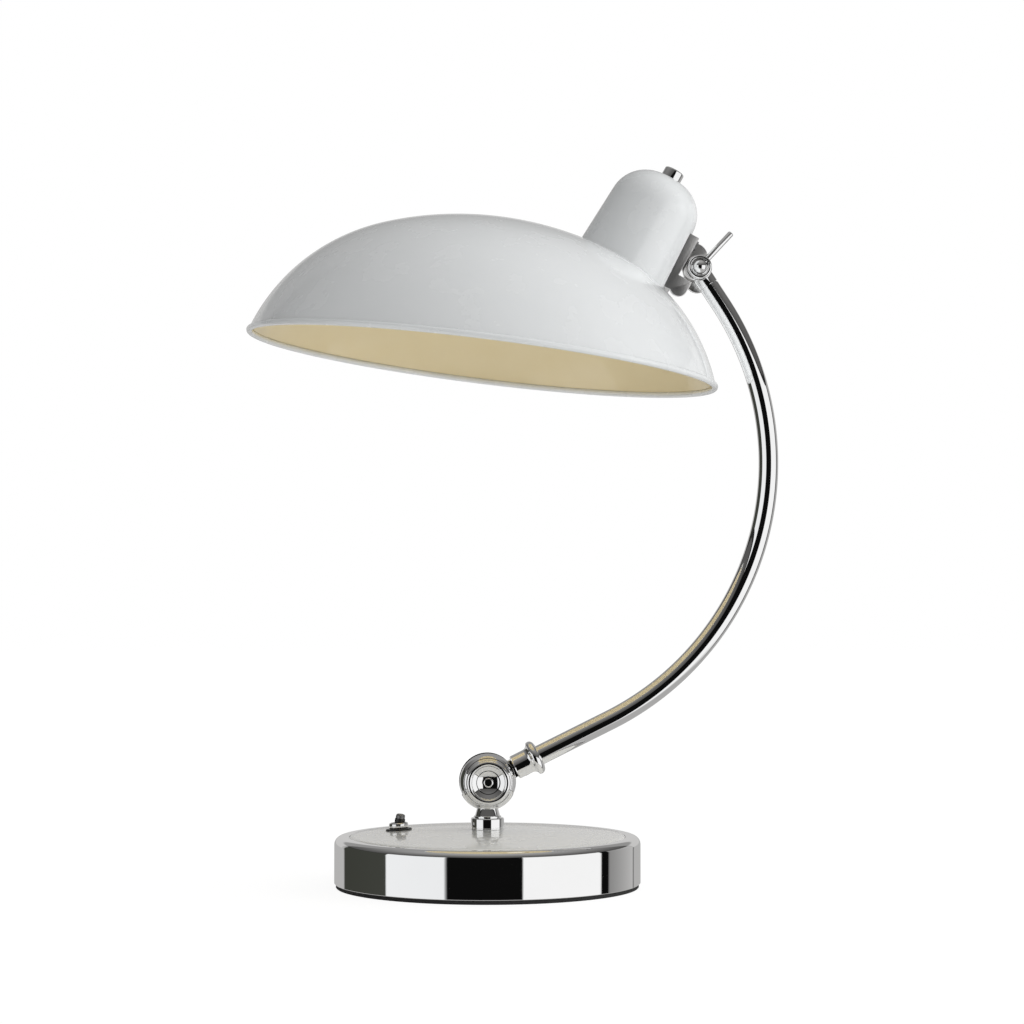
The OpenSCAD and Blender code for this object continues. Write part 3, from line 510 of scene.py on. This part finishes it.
pivot_h = 1
toggle_r = 3.1
toggle_top = 9.8 - pivot_h
ball = 2.2
tip_h = 2.8
tip_r = toggle_r - 0.35
tip_round = 1.2
toggle_lean = 12
toggle = Lathe(0, -ball).arc(0, 0, 130, 16)
toggle.line((1.5, 1.9), (2, 2.4), (toggle_r, 3.6), (toggle_r, toggle_top - tip_h - 0.1))
toggle.line((tip_r, toggle_top - tip_h + 0.1), (tip_r, toggle_top - tip_round))
toggle.arc(tip_r - tip_round, toggle_top - tip_round, 90, 6).line((0, toggle_top))
toggle = toggle.turned(48)
for face in toggle.faces:
    face.material_index = int(face.calc_center_median().z > toggle_top - tip_h)
lean = switch @ Matrix.Translation((0, 0, pivot_h)) @ Matrix.Rotation(radians(-toggle_lean), 4, "Y")
toggle = made(toggle, "toggle_lever", lean, phenolic, tip_metal)
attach(toggle, "toggle")
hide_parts("switch_toggle")
dress(phenolic, "switch_body", "holder_cap")

# ---- Stem
# A turned collar clamps the disc. The fork stands on it: a plated bar whose ball-shaped head
# is cut flat at the front and back and slotted for the arm's tongue.
collar_r = 9.9
collar_h = 6.9
collar_round = 0.7
collar_top = disc_top + collar_h
collar = Lathe(shank_r + slip, disc_top).line((collar_r - 0.2, disc_top), (collar_r, disc_top + 0.2),
                                              (collar_r, collar_top - collar_round))
collar.arc(collar_r - collar_round, collar_top - collar_round, 90, 6).line((shank_r + slip, collar_top))
collar = made(collar.turned(128, closed=True), "turned_collar", Matrix(), chrome)
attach(collar, "base")
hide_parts("stem_collar")

joints = {joint["name"]: Vector(joint["pos_m"])*1000 for joint in frame["joints"]}
foot = Matrix.Translation(joints["arm_tilt"])
to_front = Matrix.Rotation(radians(90), 4, "X")
joint_z = joints["arm_tilt"].z
ball_r = 17.5
fork_half = 9.5
cheek_in = 4.4
slot_r = 14
screw_r = 3
neck_r = 8.2
neck_top_r = 6.5
crotch = -8
flat_r = sqrt(ball_r**2 - fork_half**2)


def block(low, high, place=Matrix(), rounding=0.0):
    """A block from corner to corner, its edges rounded where that is asked for."""
    shape = bmesh.new()
    middle = (Vector(low) + Vector(high))/2
    size = Vector(high) - Vector(low)
    bmesh.ops.create_cube(shape, size=1, matrix=Matrix.Translation(middle) @ Matrix.Diagonal((*size, 1)))
    if rounding:
        bmesh.ops.bevel(shape, geom=shape.edges[:], offset=rounding, offset_type="OFFSET", segments=3,
                        profile=0.5, affect="EDGES", material=-1)
    shape.transform(place)
    return shape


cheek_round = 0.5
head = Lathe(0, -fork_half).line((flat_r - cheek_round, -fork_half))
head.arc(flat_r - cheek_round, -fork_half + cheek_round, 60, 4)
flank = acos((flat_r - 0.05)/ball_r)
head.line((ball_r*cos(flank), -ball_r*sin(flank) + 0.06))
head.arc(0, 0, 2*flank*180/pi, 32)
head.arc(flat_r - cheek_round, fork_half - cheek_round, 60, 4).line((0, fork_half))
head = head.turned(160)
head.transform(to_front)
head = cut_from(head, rod(slot_r, -cheek_in, cheek_in, to_front, 128))
head = cut_from(head, block((-2*ball_r, -cheek_in, crotch), (2*ball_r, cheek_in, 2*ball_r)))
head = cut_from(head, rod(screw_r + slip, -2*ball_r, 2*ball_r, to_front))
head.transform(foot)
shank_low = 12
bead_t = 1.2
neck = Lathe(0, shank_low).line((shank_r, shank_low), (shank_r, collar_top), (neck_r - bevel, collar_top),
                                (neck_r, collar_top + bevel), (neck_r, collar_top + bead_t - bevel),
                                (neck_r - bevel, collar_top + bead_t), (neck_r - 0.7, collar_top + bead_t))
neck.line((neck_top_r, joint_z - ball_r + 0.6), (neck_top_r - 0.6, joint_z - slot_r - bevel),
          (0, joint_z - slot_r - bevel))
fork = cut_from(head, neck.turned(128), "UNION")
fork = made(fork, "forked_stem", Matrix(), chrome, crease=30)
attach(fork, "base")
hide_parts("stem_fork")

# ---- Joint screw and fibre washers
# The screw runs through both cheeks and the tongue. Its slotted head is at the back and its
# domed end stands in the knob. Fibre washers keep the plated faces apart.
fibre = bpy.data.materials.new("vulcanised fibre")
paint = Paint(fibre)
paper = noise(paint, 700.0, 5.0, (1, 0.2, 1))
surface(paint, {
    "Base Color": paint.mix(paper, (0.15, 0.06, 0.035, 1), (0.27, 0.13, 0.08, 1)), "Roughness": 0.7,
    "Normal": paint.node("Bump", {}, {"Strength": 0.2, "Distance": 0.0002, "Height": paper})})
dress(fibre, "joint_washers", "hinge_washers")

stud_end = fork_half + 2.8
head_r = 7
head_t = 3.5
head_low = -fork_half - head_t
head_round = 2.5
slot_half = 0.6
slot_t = 1.2
screw = Lathe(0, head_low).line((head_r - head_round, head_low))
screw.arc(head_r - head_round, head_low + head_round, 90, 8).line((head_r, -fork_half), (screw_r, -fork_half))
screw.line((screw_r, stud_end)).arc(screw_r - 1.0, stud_end, 90, 6).line((0, stud_end + 1.1))
slot_cut = block((-10, -slot_half, head_low - 1), (10, slot_half, head_low + slot_t))
screw = made(cut_from(screw.turned(96), slot_cut), "joint_stud", foot @ to_front, chrome)
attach(screw, "base")
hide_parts("joint_screw")

# ---- Lock knob
# Turned and plated, screwed on the joint screw in front. A full round rim stands round a dish
# with a smaller bowl sunk in it.
knob_r = 13.2
knob_t = 5.6
rim = 1.8
bowl_r = 6.8
bowl_top = 2.6
dish_r = 18
dish_z = bowl_top + sqrt(dish_r**2 - bowl_r**2)
dish_turn = asin((screw_r + hair)/dish_r) - asin(bowl_r/dish_r)
knob = Lathe(screw_r + hair, hair).line((knob_r - 1.4, hair), (knob_r - 0.4, 2.65))
knob.arc(knob_r - rim, knob_t - rim, 205, 28)
knob.line((7.2, 3.3), (7.1, bowl_top), (bowl_r, bowl_top))
knob.arc(0, dish_z, dish_turn*180/pi, 12)
knob = made(knob.turned(128, closed=True), "dished_knob",
            foot @ to_front @ Matrix.Translation((0, 0, fork_half)), chrome)
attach(knob, "knob")
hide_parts("lock_knob")

# ---- Arm knuckle
# One turned and milled piece: a round tongue between the cheeks, a short neck, and a sleeve
# with a flared bead that takes the tube. A small set screw holds the tube from below.
arm_rise = 26.3
arm = foot @ Matrix.Rotation(radians(90 - arm_rise), 4, "Y")
tongue_r = 13.6
tongue_half = 3.5
tube_r = 5.95
sleeve_r = 7.3
sleeve_low = 18
bead_s = 31.6
bead = 3
bead_x = 10.45 - bead
flare = 3.4
tube_low = 20.5

tongue_edge = 0.4
flat = tongue_half - tongue_edge
tongue = Lathe(0, -tongue_half).line((tongue_r - tongue_edge, -tongue_half), (tongue_r, -flat),
                                     (tongue_r, flat), (tongue_r - tongue_edge, tongue_half), (0, tongue_half))
tongue = tongue.turned(128)
tongue.transform(to_front)
neck = block((-5.5, -tongue_half, 0), (5.5, tongue_half, sleeve_low + 1), rounding=tongue_edge)
tongue = cut_from(tongue, neck, "UNION")
flare_s = bead_s - 4.8
bead_low = radians(24)
sleeve_end = bead_s + bead + 0.4
sleeve = Lathe(0, sleeve_low)
sleeve.line((sleeve_r - 0.6, sleeve_low), (sleeve_r, sleeve_low + 0.6), (sleeve_r, flare_s))
sleeve.arc(sleeve_r + flare, flare_s, -79, 10)
sleeve.line((bead_x + bead*cos(bead_low), bead_s - bead*sin(bead_low)))
sleeve.arc(bead_x, bead_s, 104, 16).line((tube_r + 0.6, sleeve_end), (0, sleeve_end))
tongue = cut_from(tongue, sleeve.turned(128), "UNION")
tongue = cut_from(tongue, rod(tube_r + hair, tube_low, 60))
tongue = cut_from(tongue, rod(screw_r + hair, -10, 10, to_front))
knuckle = made(tongue, "turned_knuckle", arm, chrome, crease=30)
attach(knuckle, "arm")
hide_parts("arm_knuckle")
dress(zinc, "sleeve_screw")

# ---- Arm tube
# Steel tube, 12 mm across with a 1.5 mm wall, bent in one long even sweep with a straight
# stretch at either end, and chrome plated.
arm_foot = 81.9
arm_bend = 97.1
arm_bend_r = 173.6
arm_tip = 25.6
eye_reach = 12.8
tube_wall = 1.5


def drawn(shape, faces, length, along=(0, 0, 1)):
    """Draws the end faces out in a straight line and gives the new end faces."""
    drawn_out = bmesh.ops.extrude_face_region(shape, geom=faces)["geom"]
    ends = [part for part in drawn_out if isinstance(part, bmesh.types.BMVert)]
    bmesh.ops.translate(shape, verts=ends, vec=Vector(along)*length)
    return [part for part in drawn_out if isinstance(part, bmesh.types.BMFace)]


tube = bmesh.new()
for r in (tube_r, tube_r - tube_wall):
    bmesh.ops.create_circle(tube, radius=r, segments=64, matrix=Matrix.Translation((0, 0, tube_low)))
end = bmesh.ops.bridge_loops(tube, edges=tube.edges[:])["faces"]
end = drawn(tube, end, arm_foot - tube_low)
swept = bmesh.ops.spin(tube, geom=end, cent=(-arm_bend_r, 0, arm_foot), axis=(0, -1, 0),
                       angle=radians(arm_bend), steps=96)
end = [part for part in swept["geom_last"] if isinstance(part, bmesh.types.BMFace)]
out = Matrix.Rotation(radians(-arm_bend), 3, "Y") @ Vector((0, 0, 1))
drawn(tube, end, arm_tip - eye_reach, out)
bmesh.ops.recalc_face_normals(tube, faces=tube.faces)
tube = made(tube, "bent_tube", arm, chrome)
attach(tube, "arm")
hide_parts("arm_tube")

# ---- Arm eye
# A turned eye plugs the top of the tube. Its round head lies between the bracket's ears, and
# a neck as thick as the tube joins them with a fine groove.
pivot = Matrix.Translation(joints["shade_tilt"])
eye_place = pivot @ Matrix.Rotation(radians(270 - arm_rise - arm_bend), 4, "Y")
eye_r = 8
eye_half = 6.2
hinge_screw_r = 2.5
eye_round = 0.8
eye = Lathe(0, -eye_half).line((eye_r - eye_round, -eye_half))
eye.arc(eye_r - eye_round, -eye_half + eye_round, 90, 5).line((eye_r, eye_half - eye_round))
eye.arc(eye_r - eye_round, eye_half - eye_round, 90, 5).line((0, eye_half))
eye = eye.turned(128)
eye.transform(to_front)
stalk_r = tube_r + 0.15
step_r = tube_r - 0.35
spigot_r = tube_r - tube_wall - hair
spigot_end = eye_reach + 10
stalk = Lathe(0, 0).line((stalk_r, 0), (stalk_r, eye_reach - 1.1), (step_r, eye_reach - 0.7),
                         (step_r, eye_reach - 0.02), (spigot_r, eye_reach - 0.02),
                         (spigot_r, spigot_end), (0, spigot_end))
eye = cut_from(eye, stalk.turned(96), "UNION")
eye = cut_from(eye, rod(hinge_screw_r + hair, -10, 10, to_front))
eye = made(eye, "turned_eye", eye_place, chrome, crease=30)
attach(eye, "arm")
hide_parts("arm_eye")

# ---- Hinge screw
# It runs from behind the far ear through the eye into the clamp nut. The domed head is
# behind the lamp.
head_lean = 29.4
hinge = pivot @ Matrix.Rotation(radians(head_lean), 4, "Y")
hinge_face = 7.1
bracket_t = 2.6
bracket_y = hinge_face + bracket_t
clamp_low = 7.15
clamp_t = 5
hinge_head_r = 5
hinge_head_low = -bracket_y - 2.8
hinge_head_round = 2.2
seat_z = -bracket_y - 0.01
screw_end = clamp_low + clamp_t - 1
screw = Lathe(0, hinge_head_low).line((hinge_head_r - hinge_head_round, hinge_head_low))
screw.arc(hinge_head_r - hinge_head_round, hinge_head_low + hinge_head_round, 90, 8)
screw.line((hinge_head_r, seat_z), (hinge_screw_r, seat_z), (hinge_screw_r, screw_end), (0, screw_end))
screw = made(screw.turned(96), "hinge_stud", hinge @ to_front, chrome)
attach(screw, "head")
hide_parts("hinge_screw")

# ---- Clamp nut and lever
# The nut in front of the eye is turned with a rounded rim, a groove and a domed middle. Its
# lever is a plain rod, screwed in from the side, and is turned to loosen the shade.
clamp_r = 7.2
dome_r = 4.4
groove = 0.9
nut_rim = (clamp_r - dome_r - 0.5)/2
groove_z = clamp_t - groove
dome_z = groove_z - 0.2
bore_top = clamp_t - 0.7
nut = Lathe(hinge_screw_r + hair, 0).line((clamp_r - 0.6, 0), (clamp_r, 0.6), (clamp_r, clamp_t - nut_rim))
nut.arc(clamp_r - nut_rim, clamp_t - nut_rim, 180, 16).line((dome_r + 0.5, groove_z), (dome_r, dome_z))
nut.arc(0, dome_z, 90, 16).line((0, bore_top), (hinge_screw_r + hair, bore_top))
nut = nut.turned(96, closed=True)
lever_r = 1.85
lever_reach = 28.2
lever_turn = 47
lever_place = (Matrix.Translation((0, -clamp_low - clamp_t*0.52, 0))
               @ Matrix.Rotation(radians(90 - lever_turn - head_lean), 4, "Y"))
nut.transform(to_front @ Matrix.Translation((0, 0, clamp_low)))
nut = cut_from(nut, rod(lever_r + hair, dome_r, 20, lever_place))
nut = made(nut, "domed_clamp_nut", hinge, chrome, crease=30)
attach(nut, "clamp")
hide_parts("clamp_nut")

lever = Lathe(0, dome_r + hair).line((lever_r, dome_r + hair), (lever_r, lever_reach - 0.7),
                                     (lever_r - 0.35, lever_reach - 0.15), (lever_r - 0.7, lever_reach),
                                     (0, lever_reach))
lever = made(lever.turned(48), "clamp_rod", hinge @ lever_place, chrome)
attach(lever, "clamp")
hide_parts("clamp_lever")

# ---- Hinge bracket
# A casting with a satin plating, filed hollow to fit the cap and screwed to it. A long ear
# stands behind the eye, and a short rounded tab in front of it, lower down.
satin = bpy.data.materials.new("satin chrome")
paint = Paint(satin)
pits = noise(paint, 1500.0, 4.0)
surface(paint, {
    "Base Color": paint.mix(noise(paint, 90.0, 4.0), grey(0.80, 0.01), grey(0.92, 0.01)), "Metallic": 1.0,
    "Roughness": 0.26 + pits*0.12,
    "Normal": paint.node("Bump", {}, {"Strength": 0.12, "Distance": 0.0003, "Height": pits})})

bracket_face = -8.6
hinge_out = 41.1
hinge_up = 18.7
cap_r = 29.5
cap_h = 57.8
cap_taper = 2.8
plate_low = -21
plate_top = 15
round_over = 0.45


def hull_of(*shapes):
    """The tightest solid round the shapes, with its sharp edges rounded over."""
    whole = bmesh.new()
    for shape in shapes:
        mesh = bpy.data.meshes.new("part")
        shape.to_mesh(mesh)
        shape.free()
        whole.from_mesh(mesh)
        bpy.data.meshes.remove(mesh)
    result = bmesh.ops.convex_hull(whole, input=whole.verts)
    inside = [part for part in result["geom_interior"] + result["geom_unused"]
              if isinstance(part, bmesh.types.BMVert)]
    bmesh.ops.delete(whole, geom=list(set(inside)), context="VERTS")
    bmesh.ops.dissolve_limit(whole, angle_limit=radians(1), verts=whole.verts, edges=whole.edges)
    bmesh.ops.recalc_face_normals(whole, faces=whole.faces)
    sharp = [edge for edge in whole.edges if edge.calc_face_angle(0) > radians(50)]
    bmesh.ops.bevel(whole, geom=sharp, offset=round_over, offset_type="OFFSET", segments=3,
                    profile=0.5, affect="EDGES", material=-1)
    return whole


def disc_y(x, z, r, low, high):
    """A round plate at x and z, from one y to another."""
    return rod(r, -high, -low, Matrix.Translation((x, 0, z)) @ to_front, 96)


ear = hull_of(disc_y(-5.4, 6.4, 8.7, hinge_face, bracket_y), disc_y(3.8, -5.7, 6.9, hinge_face, bracket_y))
tab = hull_of(disc_y(-5, -17, 5.45, -bracket_y, -hinge_face),
              block((-10.45, -bracket_y, -15), (0.45, -hinge_face, -10.3)))
plate = block((-hinge_out + 20, -bracket_y, plate_low), (bracket_face, bracket_y, plate_top),
              rounding=round_over)
cap_line = Matrix.Translation((-hinge_out, 0, -hinge_up))
slope = tan(radians(cap_taper))
bore_r = cap_r + hair
hollow = Lathe(0, -cap_r).line((bore_r + cap_r*slope, -cap_r), (bore_r - cap_h*slope, cap_h), (0, cap_h))
hollow = hollow.turned(192)
hollow.transform(cap_line)
plate = cut_from(plate, hollow)
plate = cut_from(plate, ear, "UNION")
plate = cut_from(plate, tab, "UNION")
plate = cut_from(plate, rod(hinge_screw_r + slip, -20, 0, to_front))
bracket = made(plate, "cast_bracket", hinge, satin, crease=30)
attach(bracket, "head")
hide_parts("hinge_bracket")
dress(zinc, "bracket_screws")

# ---- Dome
# Spun aluminium, 1.2 mm thick: a flat crown that runs on into a rounder side, and a rolled
# rim. White enamel outside and on the rim, cream enamel inside.
enamel = enamelled("white enamel", (0.765, 0.785, 0.79, 1), (0.80, 0.815, 0.82, 1))
cream = enamelled("cream enamel", (0.82, 0.70, 0.43, 1), (0.86, 0.75, 0.50, 1), 0.34)

rim_r = 141.3
dome_h = 85.5
crown_r = 202
crown_turn = radians(21.3)
dome_t = 1.2
rim_bead = 1.85
cap_x = 77.6
cap_lean = 22.4
side_r = crown_r - ((crown_r**2 - (dome_h - crown_r)**2 - rim_r**2)
                    / (2*(crown_r + (dome_h - crown_r)*cos(crown_turn) - rim_r*sin(crown_turn))))
side_x = (crown_r - side_r)*sin(crown_turn)
side_z = dome_h - crown_r + (crown_r - side_r)*cos(crown_turn)
bead_mid = rim_r - dome_t/2
# The side runs down to where it meets the bead
side_turn = acos((rim_bead - side_z)/side_r)*180/pi
cap_z = side_z + sqrt(side_r**2 - (cap_x - side_x)**2)
cap = hinge @ cap_line
dome_place = cap @ Matrix.Rotation(radians(-cap_lean), 4, "Y") @ Matrix.Translation((-cap_x, 0, -cap_z))
crown_deg = crown_turn*180/pi
holder_r = 19.7

outside = Lathe(0, dome_h).arc(0, dome_h - crown_r, -crown_deg, 24)
outside.arc(side_x, side_z, crown_deg - side_turn, 56)
meets = outside.tip.co.copy()
from_bead = Vector((meets.x - bead_mid, meets.z))
bead_start = from_bead.angle_signed(Vector((1, 0)))*180/pi
outside.line((bead_mid + rim_bead*cos(radians(bead_start)), rim_bead*sin(radians(bead_start))))
outside.arc(bead_mid, 0, -(bead_start + 360 - 115), 40)
inner_low = 1.8
inner_turn = acos((inner_low - side_z)/(side_r - dome_t))*180/pi
outside.line((side_x + (side_r - dome_t)*sin(radians(inner_turn)), inner_low))
outside.arc(side_x, side_z, inner_turn - crown_deg, 56)
outside.arc(0, dome_h - crown_r, crown_deg, 24)
dome = outside.turned(256)
into_dome = dome_place.inverted() @ cap
dome = cut_from(dome, rod(holder_r + bevel, -30, 30, into_dome, 96))
middle = Vector((0, 0, dome_h - crown_r))
for face in dome.faces:
    centre = face.calc_center_median()
    on_bead = Vector((sqrt(centre.x**2 + centre.y**2) - bead_mid, centre.z)).length < rim_bead + hair
    face.material_index = int(not on_bead and face.normal.dot(centre - middle) < 0)
dome = made(dome, "spun_dome", dome_place, enamel, cream, crease=40)
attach(dome, "head")
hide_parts("shade_dome")

# ---- Cap
# Spun from the same sheet and enamelled with the dome. It stands leaning on the dome's side,
# its open foot cut to the dome's curve, and covers the lampholder.
cap_round = 22
cap_t = 1.2
nipple_r = 4
round_z = cap_h - cap_round
round_x = cap_r - (round_z + cap_round*sin(radians(cap_taper)))*slope - cap_round*cos(radians(cap_taper))
foot_z = -12
round_turn = 90 - cap_taper
wall = cap_t/cos(radians(cap_taper))
inner_round = cap_round - cap_t
shell = Lathe(nipple_r + slip, cap_h).line((round_x, cap_h)).arc(round_x, round_z, -round_turn, 20)
shell.line((cap_r - foot_z*slope, foot_z), (cap_r - wall - foot_z*slope, foot_z))
shell.line((round_x + inner_round*cos(radians(cap_taper)), round_z + inner_round*sin(radians(cap_taper))))
shell.arc(round_x, round_z, round_turn, 12).line((nipple_r + slip, cap_h - cap_t))
shell = shell.turned(192, closed=True)
under = Lathe(0, dome_h).arc(0, dome_h - crown_r, -crown_deg, 24)
under = under.arc(side_x, side_z, crown_deg - side_turn, 56).line((0, rim_bead)).turned(256)
under.transform(into_dome.inverted())
shell = cut_from(shell, under)
cap_piece = made(shell, "spun_cap", cap, enamel)
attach(cap_piece, "head")
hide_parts("shade_cap")

# ---- Cap nut and nipple
# A plated round nut on a threaded brass nipple holds cap, dome and lampholder together. A
# hexagonal locknut sits on the nipple inside the cap.
brass = bpy.data.materials.new("brass")
paint = Paint(brass)
tarnish = noise(paint, 180.0, 4.0)
surface(paint, {
    "Base Color": paint.mix(tarnish, (0.62, 0.43, 0.16, 1), (0.80, 0.60, 0.28, 1)), "Metallic": 1.0,
    "Roughness": 0.22 + tarnish*0.2})
dress(brass, "nipple", "nipple_locknut", "screw_shell", "centre_contact")

cap_nut_r = 6.25
cap_nut_h = 6
bore_top = cap_nut_h - 1.2
nut_round = 0.9
nut = Lathe(0, bore_top).line((nipple_r + hair, bore_top), (nipple_r + hair, 0), (cap_nut_r - 0.25, 0),
                              (cap_nut_r, 0.25), (cap_nut_r, cap_nut_h - nut_round))
nut.arc(cap_nut_r - nut_round, cap_nut_h - nut_round, 90, 6).line((0, cap_nut_h))
nut = made(nut.turned(96), "plated_cap_nut", cap @ Matrix.Translation((0, 0, cap_h)), chrome)
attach(nut, "head")
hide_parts("cap_nut")

# ---- Lampholder
# Black phenolic with a porcelain insert. The skirt comes through the dome, and a flange above
# and a screwed ring below grip the sheet.
porcelain = bpy.data.materials.new("porcelain")
paint = Paint(porcelain)
glaze = noise(paint, 90.0, 4.0)
surface(paint, {
    "Base Color": paint.mix(glaze, grey(0.76, 0.03), grey(0.84, 0.02)), "Roughness": 0.12 + glaze*0.1})
dress(porcelain, "holder_insert")

skirt_drop = 10
skirt_top = 22
skirt_bore = 15.2
lip = 0.5
lip_z = lip - skirt_drop
skirt = Lathe(skirt_bore, skirt_top).line((skirt_bore, lip_z)).arc(skirt_bore + lip, lip_z, 90, 4)
skirt.line((holder_r - lip, -skirt_drop)).arc(holder_r - lip, lip_z, 90, 4).line((holder_r, skirt_top))
skirt = made(skirt.turned(128, closed=True), "holder_sleeve", cap, phenolic)
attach(skirt, "head")
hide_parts("holder_skirt")
dress(phenolic, "shade_ring")

# ---- Bulb
# An opal glass bulb in a metal cap. It hangs inside the dome, and from the camera the rim hides it.
bulb_metal = bpy.data.materials.new("bulb cap")
paint = Paint(bulb_metal)
rolled = noise(paint, 500.0, 3.0)
surface(paint, {
    "Base Color": paint.mix(rolled, grey(0.62), grey(0.78)), "Metallic": 1.0, "Roughness": 0.25 + rolled*0.15})
dress(bulb_metal, "bulb_cap")

opal = bpy.data.materials.new("opal glass")
paint = Paint(opal)
cloud = noise(paint, 60.0, 3.0)
surface(paint, {
    "Base Color": paint.mix(cloud, (0.90, 0.88, 0.82, 1), (0.95, 0.94, 0.90, 1)),
    "Roughness": 0.10 + cloud*0.05,
    "Emission Color": paint.mix(cloud, (0.96, 0.92, 0.82, 1), (1.0, 0.96, 0.88, 1)),
    "Emission Strength": 0.55})
bulb_r = 22.5
bulb_mid = bulb_r - 60
neck_z = -13
neck_r = 12.4
bulb = Lathe(0, bulb_mid - bulb_r).arc(0, bulb_mid, 140, 48)
bulb.line((neck_r + 1.0, neck_z - 4.5), (neck_r + 0.2, neck_z - 2), (neck_r, neck_z), (0, neck_z))
bulb = made(bulb.turned(96), "opal_bulb", cap, opal, crease=60)
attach(bulb, "head")
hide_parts("bulb_glass")
